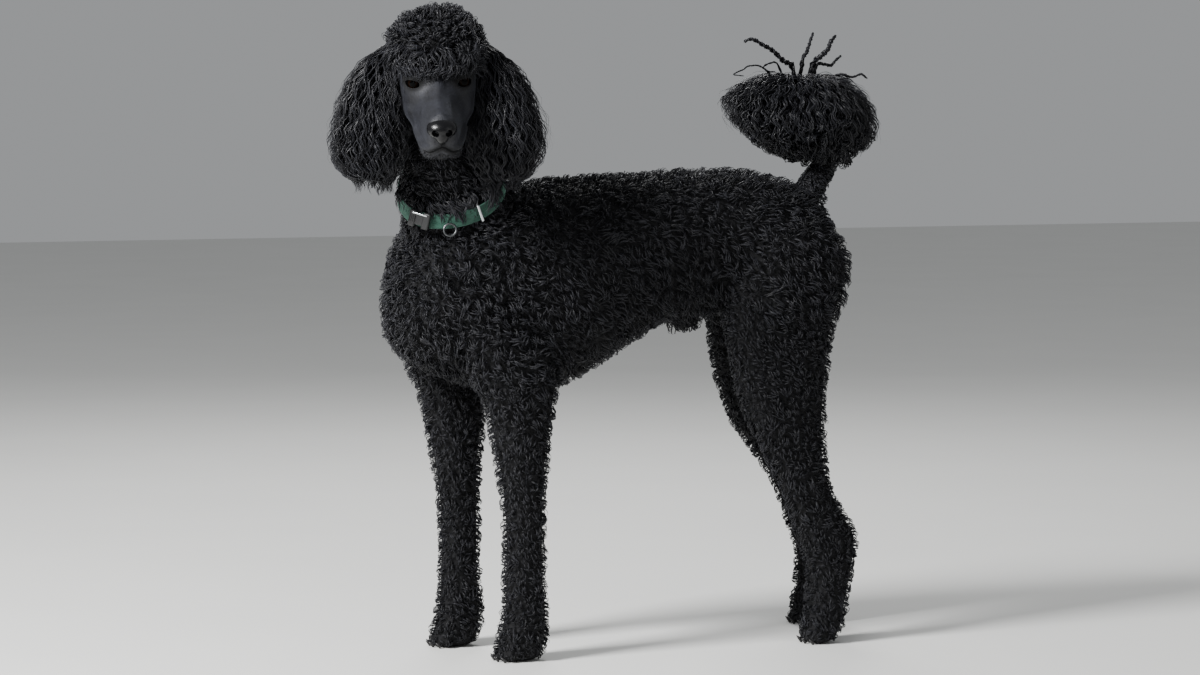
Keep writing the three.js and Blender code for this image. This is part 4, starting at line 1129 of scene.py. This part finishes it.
band = bmesh.new()
along_band = band.verts.layers.float.new("along")
across_band = band.verts.layers.float.new("across")
strap = list(section(COLLAR["wide"], BAND["thick"], BAND["edge"]))
stops = [i / BAND["stations"] for i in range(BAND["stations"])]
places = [band_frame(BAND["start"] + stop) for stop in stops]
rings = loft(band, [[place @ point for point in strap] for place in places], hoop=True)
for stop, ring in zip(stops, rings):
    for vert, (_, s) in zip(ring, around(16)):
        vert[along_band], vert[across_band] = stop, s
bmesh.ops.recalc_face_normals(band, faces=band.faces)
webbing = Finish("green webbing", Sheen_Weight=0.3, Sheen_Roughness=0.5, Sheen_Tint=(0.5, 1, 0.8, 1))
turns = (webbing.attribute("along") * WEAVE["ribs"], webbing.attribute("across") * WEAVE["rows"])
rib, row = (webbing.node("ShaderNodeMath", {"operation": "SINE"}, {0: turn}) for turn in turns)
weave = (rib * row) * 0.5 + 0.5
worn = webbing.noise(60, 4)
dyed = webbing.mixed(weave * 0.6 + worn * 0.4, (0.003, 0.026, 0.0165), (0.012, 0.078, 0.05))
webbing.cover(dyed, 0.6 + worn * 0.2, weave, 0.0006, 0.8)
add_piece("collar_webbing", built(band, "band"), webbing.material, "collar_band", slot="webbing")

# Buckle: a side-release clip of satin black plastic, moulded in two halves that meet at a waist, with
# four grip ribs on one end. The band's ends are sewn through it.
BUCKLE = dict(share=0.6, thick=7, end=(10, 7, 22), apart=10, waist=(26, 5.4, 15))
GRIP = dict(size=(0.9, 1.2, 9), pitch=2.4, start=6, sunk=0.6)


def plate(bm, share, size, along=0.0, off=0.0, corner=1.0, up=0.0):
    """A block with rounded edges on the band: its size along the band, out from it and up."""
    long, thick, high = size
    middle = Matrix.Translation((along, BAND["thick"] + 0.4 + off + thick / 2, up))
    place = band_frame(share) @ middle @ Matrix.Diagonal((long, thick, high, 1))
    edges = edges_of(bmesh.ops.create_cube(bm, size=1, matrix=place)["verts"])
    bevel = dict(offset=corner, affect="EDGES", segments=3, profile=0.5, material=-1)
    bmesh.ops.bevel(bm, geom=edges, **bevel)


clip = bmesh.new()
for along in (-BUCKLE["apart"], BUCKLE["apart"]):
    plate(clip, BUCKLE["share"], BUCKLE["end"], along, corner=1.8)
plate(clip, BUCKLE["share"], BUCKLE["waist"], off=0.6, corner=1.4)
for i in range(4):
    along, off = GRIP["pitch"] * i + GRIP["start"], BUCKLE["thick"] - GRIP["sunk"]
    plate(clip, BUCKLE["share"], GRIP["size"], along, off, 0.3)
plastic = ((0.003, 0.003, 0.0035), (0.009, 0.009, 0.01))
plastic = grained("satin black plastic", plastic, 0.34, 0.25, 0.0001, 700)
add_piece("collar_clip", built(clip, "clip", False), plastic, "collar_buckle", slot="buckle")

# Slider: a plated steel bar over the band, which takes up its length. A plated strip of the same steel
# is let into the upper edge of the buckle.
SLIDER = dict(share=0.76, size=(4, 3, 24), corner=1.3)
TRIM = dict(share=BUCKLE["share"], size=(22, 1.6, 2.2), off=6.2, up=7.6, corner=0.7)
bar = bmesh.new()
plate(bar, **SLIDER)
plate(bar, **TRIM)
steel = ((0.5, 0.52, 0.54), (0.72, 0.74, 0.76))
steel = grained("plated steel", steel, 0.14, 0.2, 0.00005, Metallic=1.0)
add_piece("collar_bar", built(bar, "bar"), steel, "collar_slider", slot="metal")

# Ring: round wire of dark nickel that hangs from the lower edge of the band and lies on the chest's
# curls. Nothing hangs on it.
LEAD_RING = dict(share=0.68, radius=8, wire=1.5, hang=11, tip=0.2, off=4.9)
ring = bmesh.new()
upright = Matrix.Rotation(math.pi / 2, 4, "X")
matrix = Matrix.Translation((LEAD_RING["radius"], 0, 0)) @ upright
wire = bmesh.ops.create_circle(ring, segments=16, radius=LEAD_RING["wire"], matrix=matrix)
spin = dict(cent=(0, 0, 0), axis=(0, 0, 1), angle=2 * math.pi, steps=48, use_merge=True)
bmesh.ops.spin(ring, geom=wire["verts"] + ring.edges[:], **spin)
hang = Matrix.Translation((0, BAND["thick"] + LEAD_RING["off"], -LEAD_RING["hang"]))
tipped = Matrix.Rotation(math.pi / 2 + LEAD_RING["tip"], 4, "X")
ring.transform(band_frame(LEAD_RING["share"]) @ hang @ tipped)
bmesh.ops.recalc_face_normals(ring, faces=ring.faces)
nickel = ((0.05, 0.053, 0.055), (0.13, 0.135, 0.14))
nickel = grained("dark nickel", nickel, 0.25, 0.2, 0.00005, Metallic=1.0)
add_piece("collar_hoop", built(ring, "ring"), nickel, "collar_ring", slot="metal")


# The studio: a pale floor, with a broad key light ahead of the dog and above it, a weak fill from the
# camera's side, and one from behind.
FLOOR_HALF = 12
floor = bmesh.new()
bmesh.ops.create_grid(floor, x_segments=1, y_segments=1, size=FLOOR_HALF)
floor_mesh = built(floor, "floor", False)
paper = Finish("pale floor")
paper.cover(paper.mixed(paper.noise(3), (0.7, 0.7, 0.68), (0.74, 0.74, 0.72)), 0.9)
floor_mesh.materials.append(paper.material)
placed("floor", floor_mesh)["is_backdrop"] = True
world = bpy.data.worlds.new("pale room")
world.use_nodes = True
room = world.node_tree.nodes["Background"].inputs
room["Color"].default_value = (0.86, 0.88, 0.9, 1)
room["Strength"].default_value = 0.38
bpy.context.scene.world = world
AIM = Vector((0, 0, 0.5))
LIGHTS = [  # name, place, size, power in watts
    ("key", (-2.9, -0.8, 2.5), 0.9, 320),
    ("fill", (1.6, -3.2, 1.5), 2.0, 12),
    ("back", (0.8, 2.4, 2.6), 1.2, 50),
]
for name, place, size, power in LIGHTS:
    light = bpy.data.lights.new(name, "AREA")
    light.size = size
    light.energy = power
    lamp = placed(name, light)
    lamp.location = place
    lamp.rotation_euler = (AIM - Vector(place)).to_track_quat("-Z", "Y").to_euler()

boxes = {"cad": cad_box, "visual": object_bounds()}
{name: [list(corner) for corner in box] for name, box in boxes.items()}
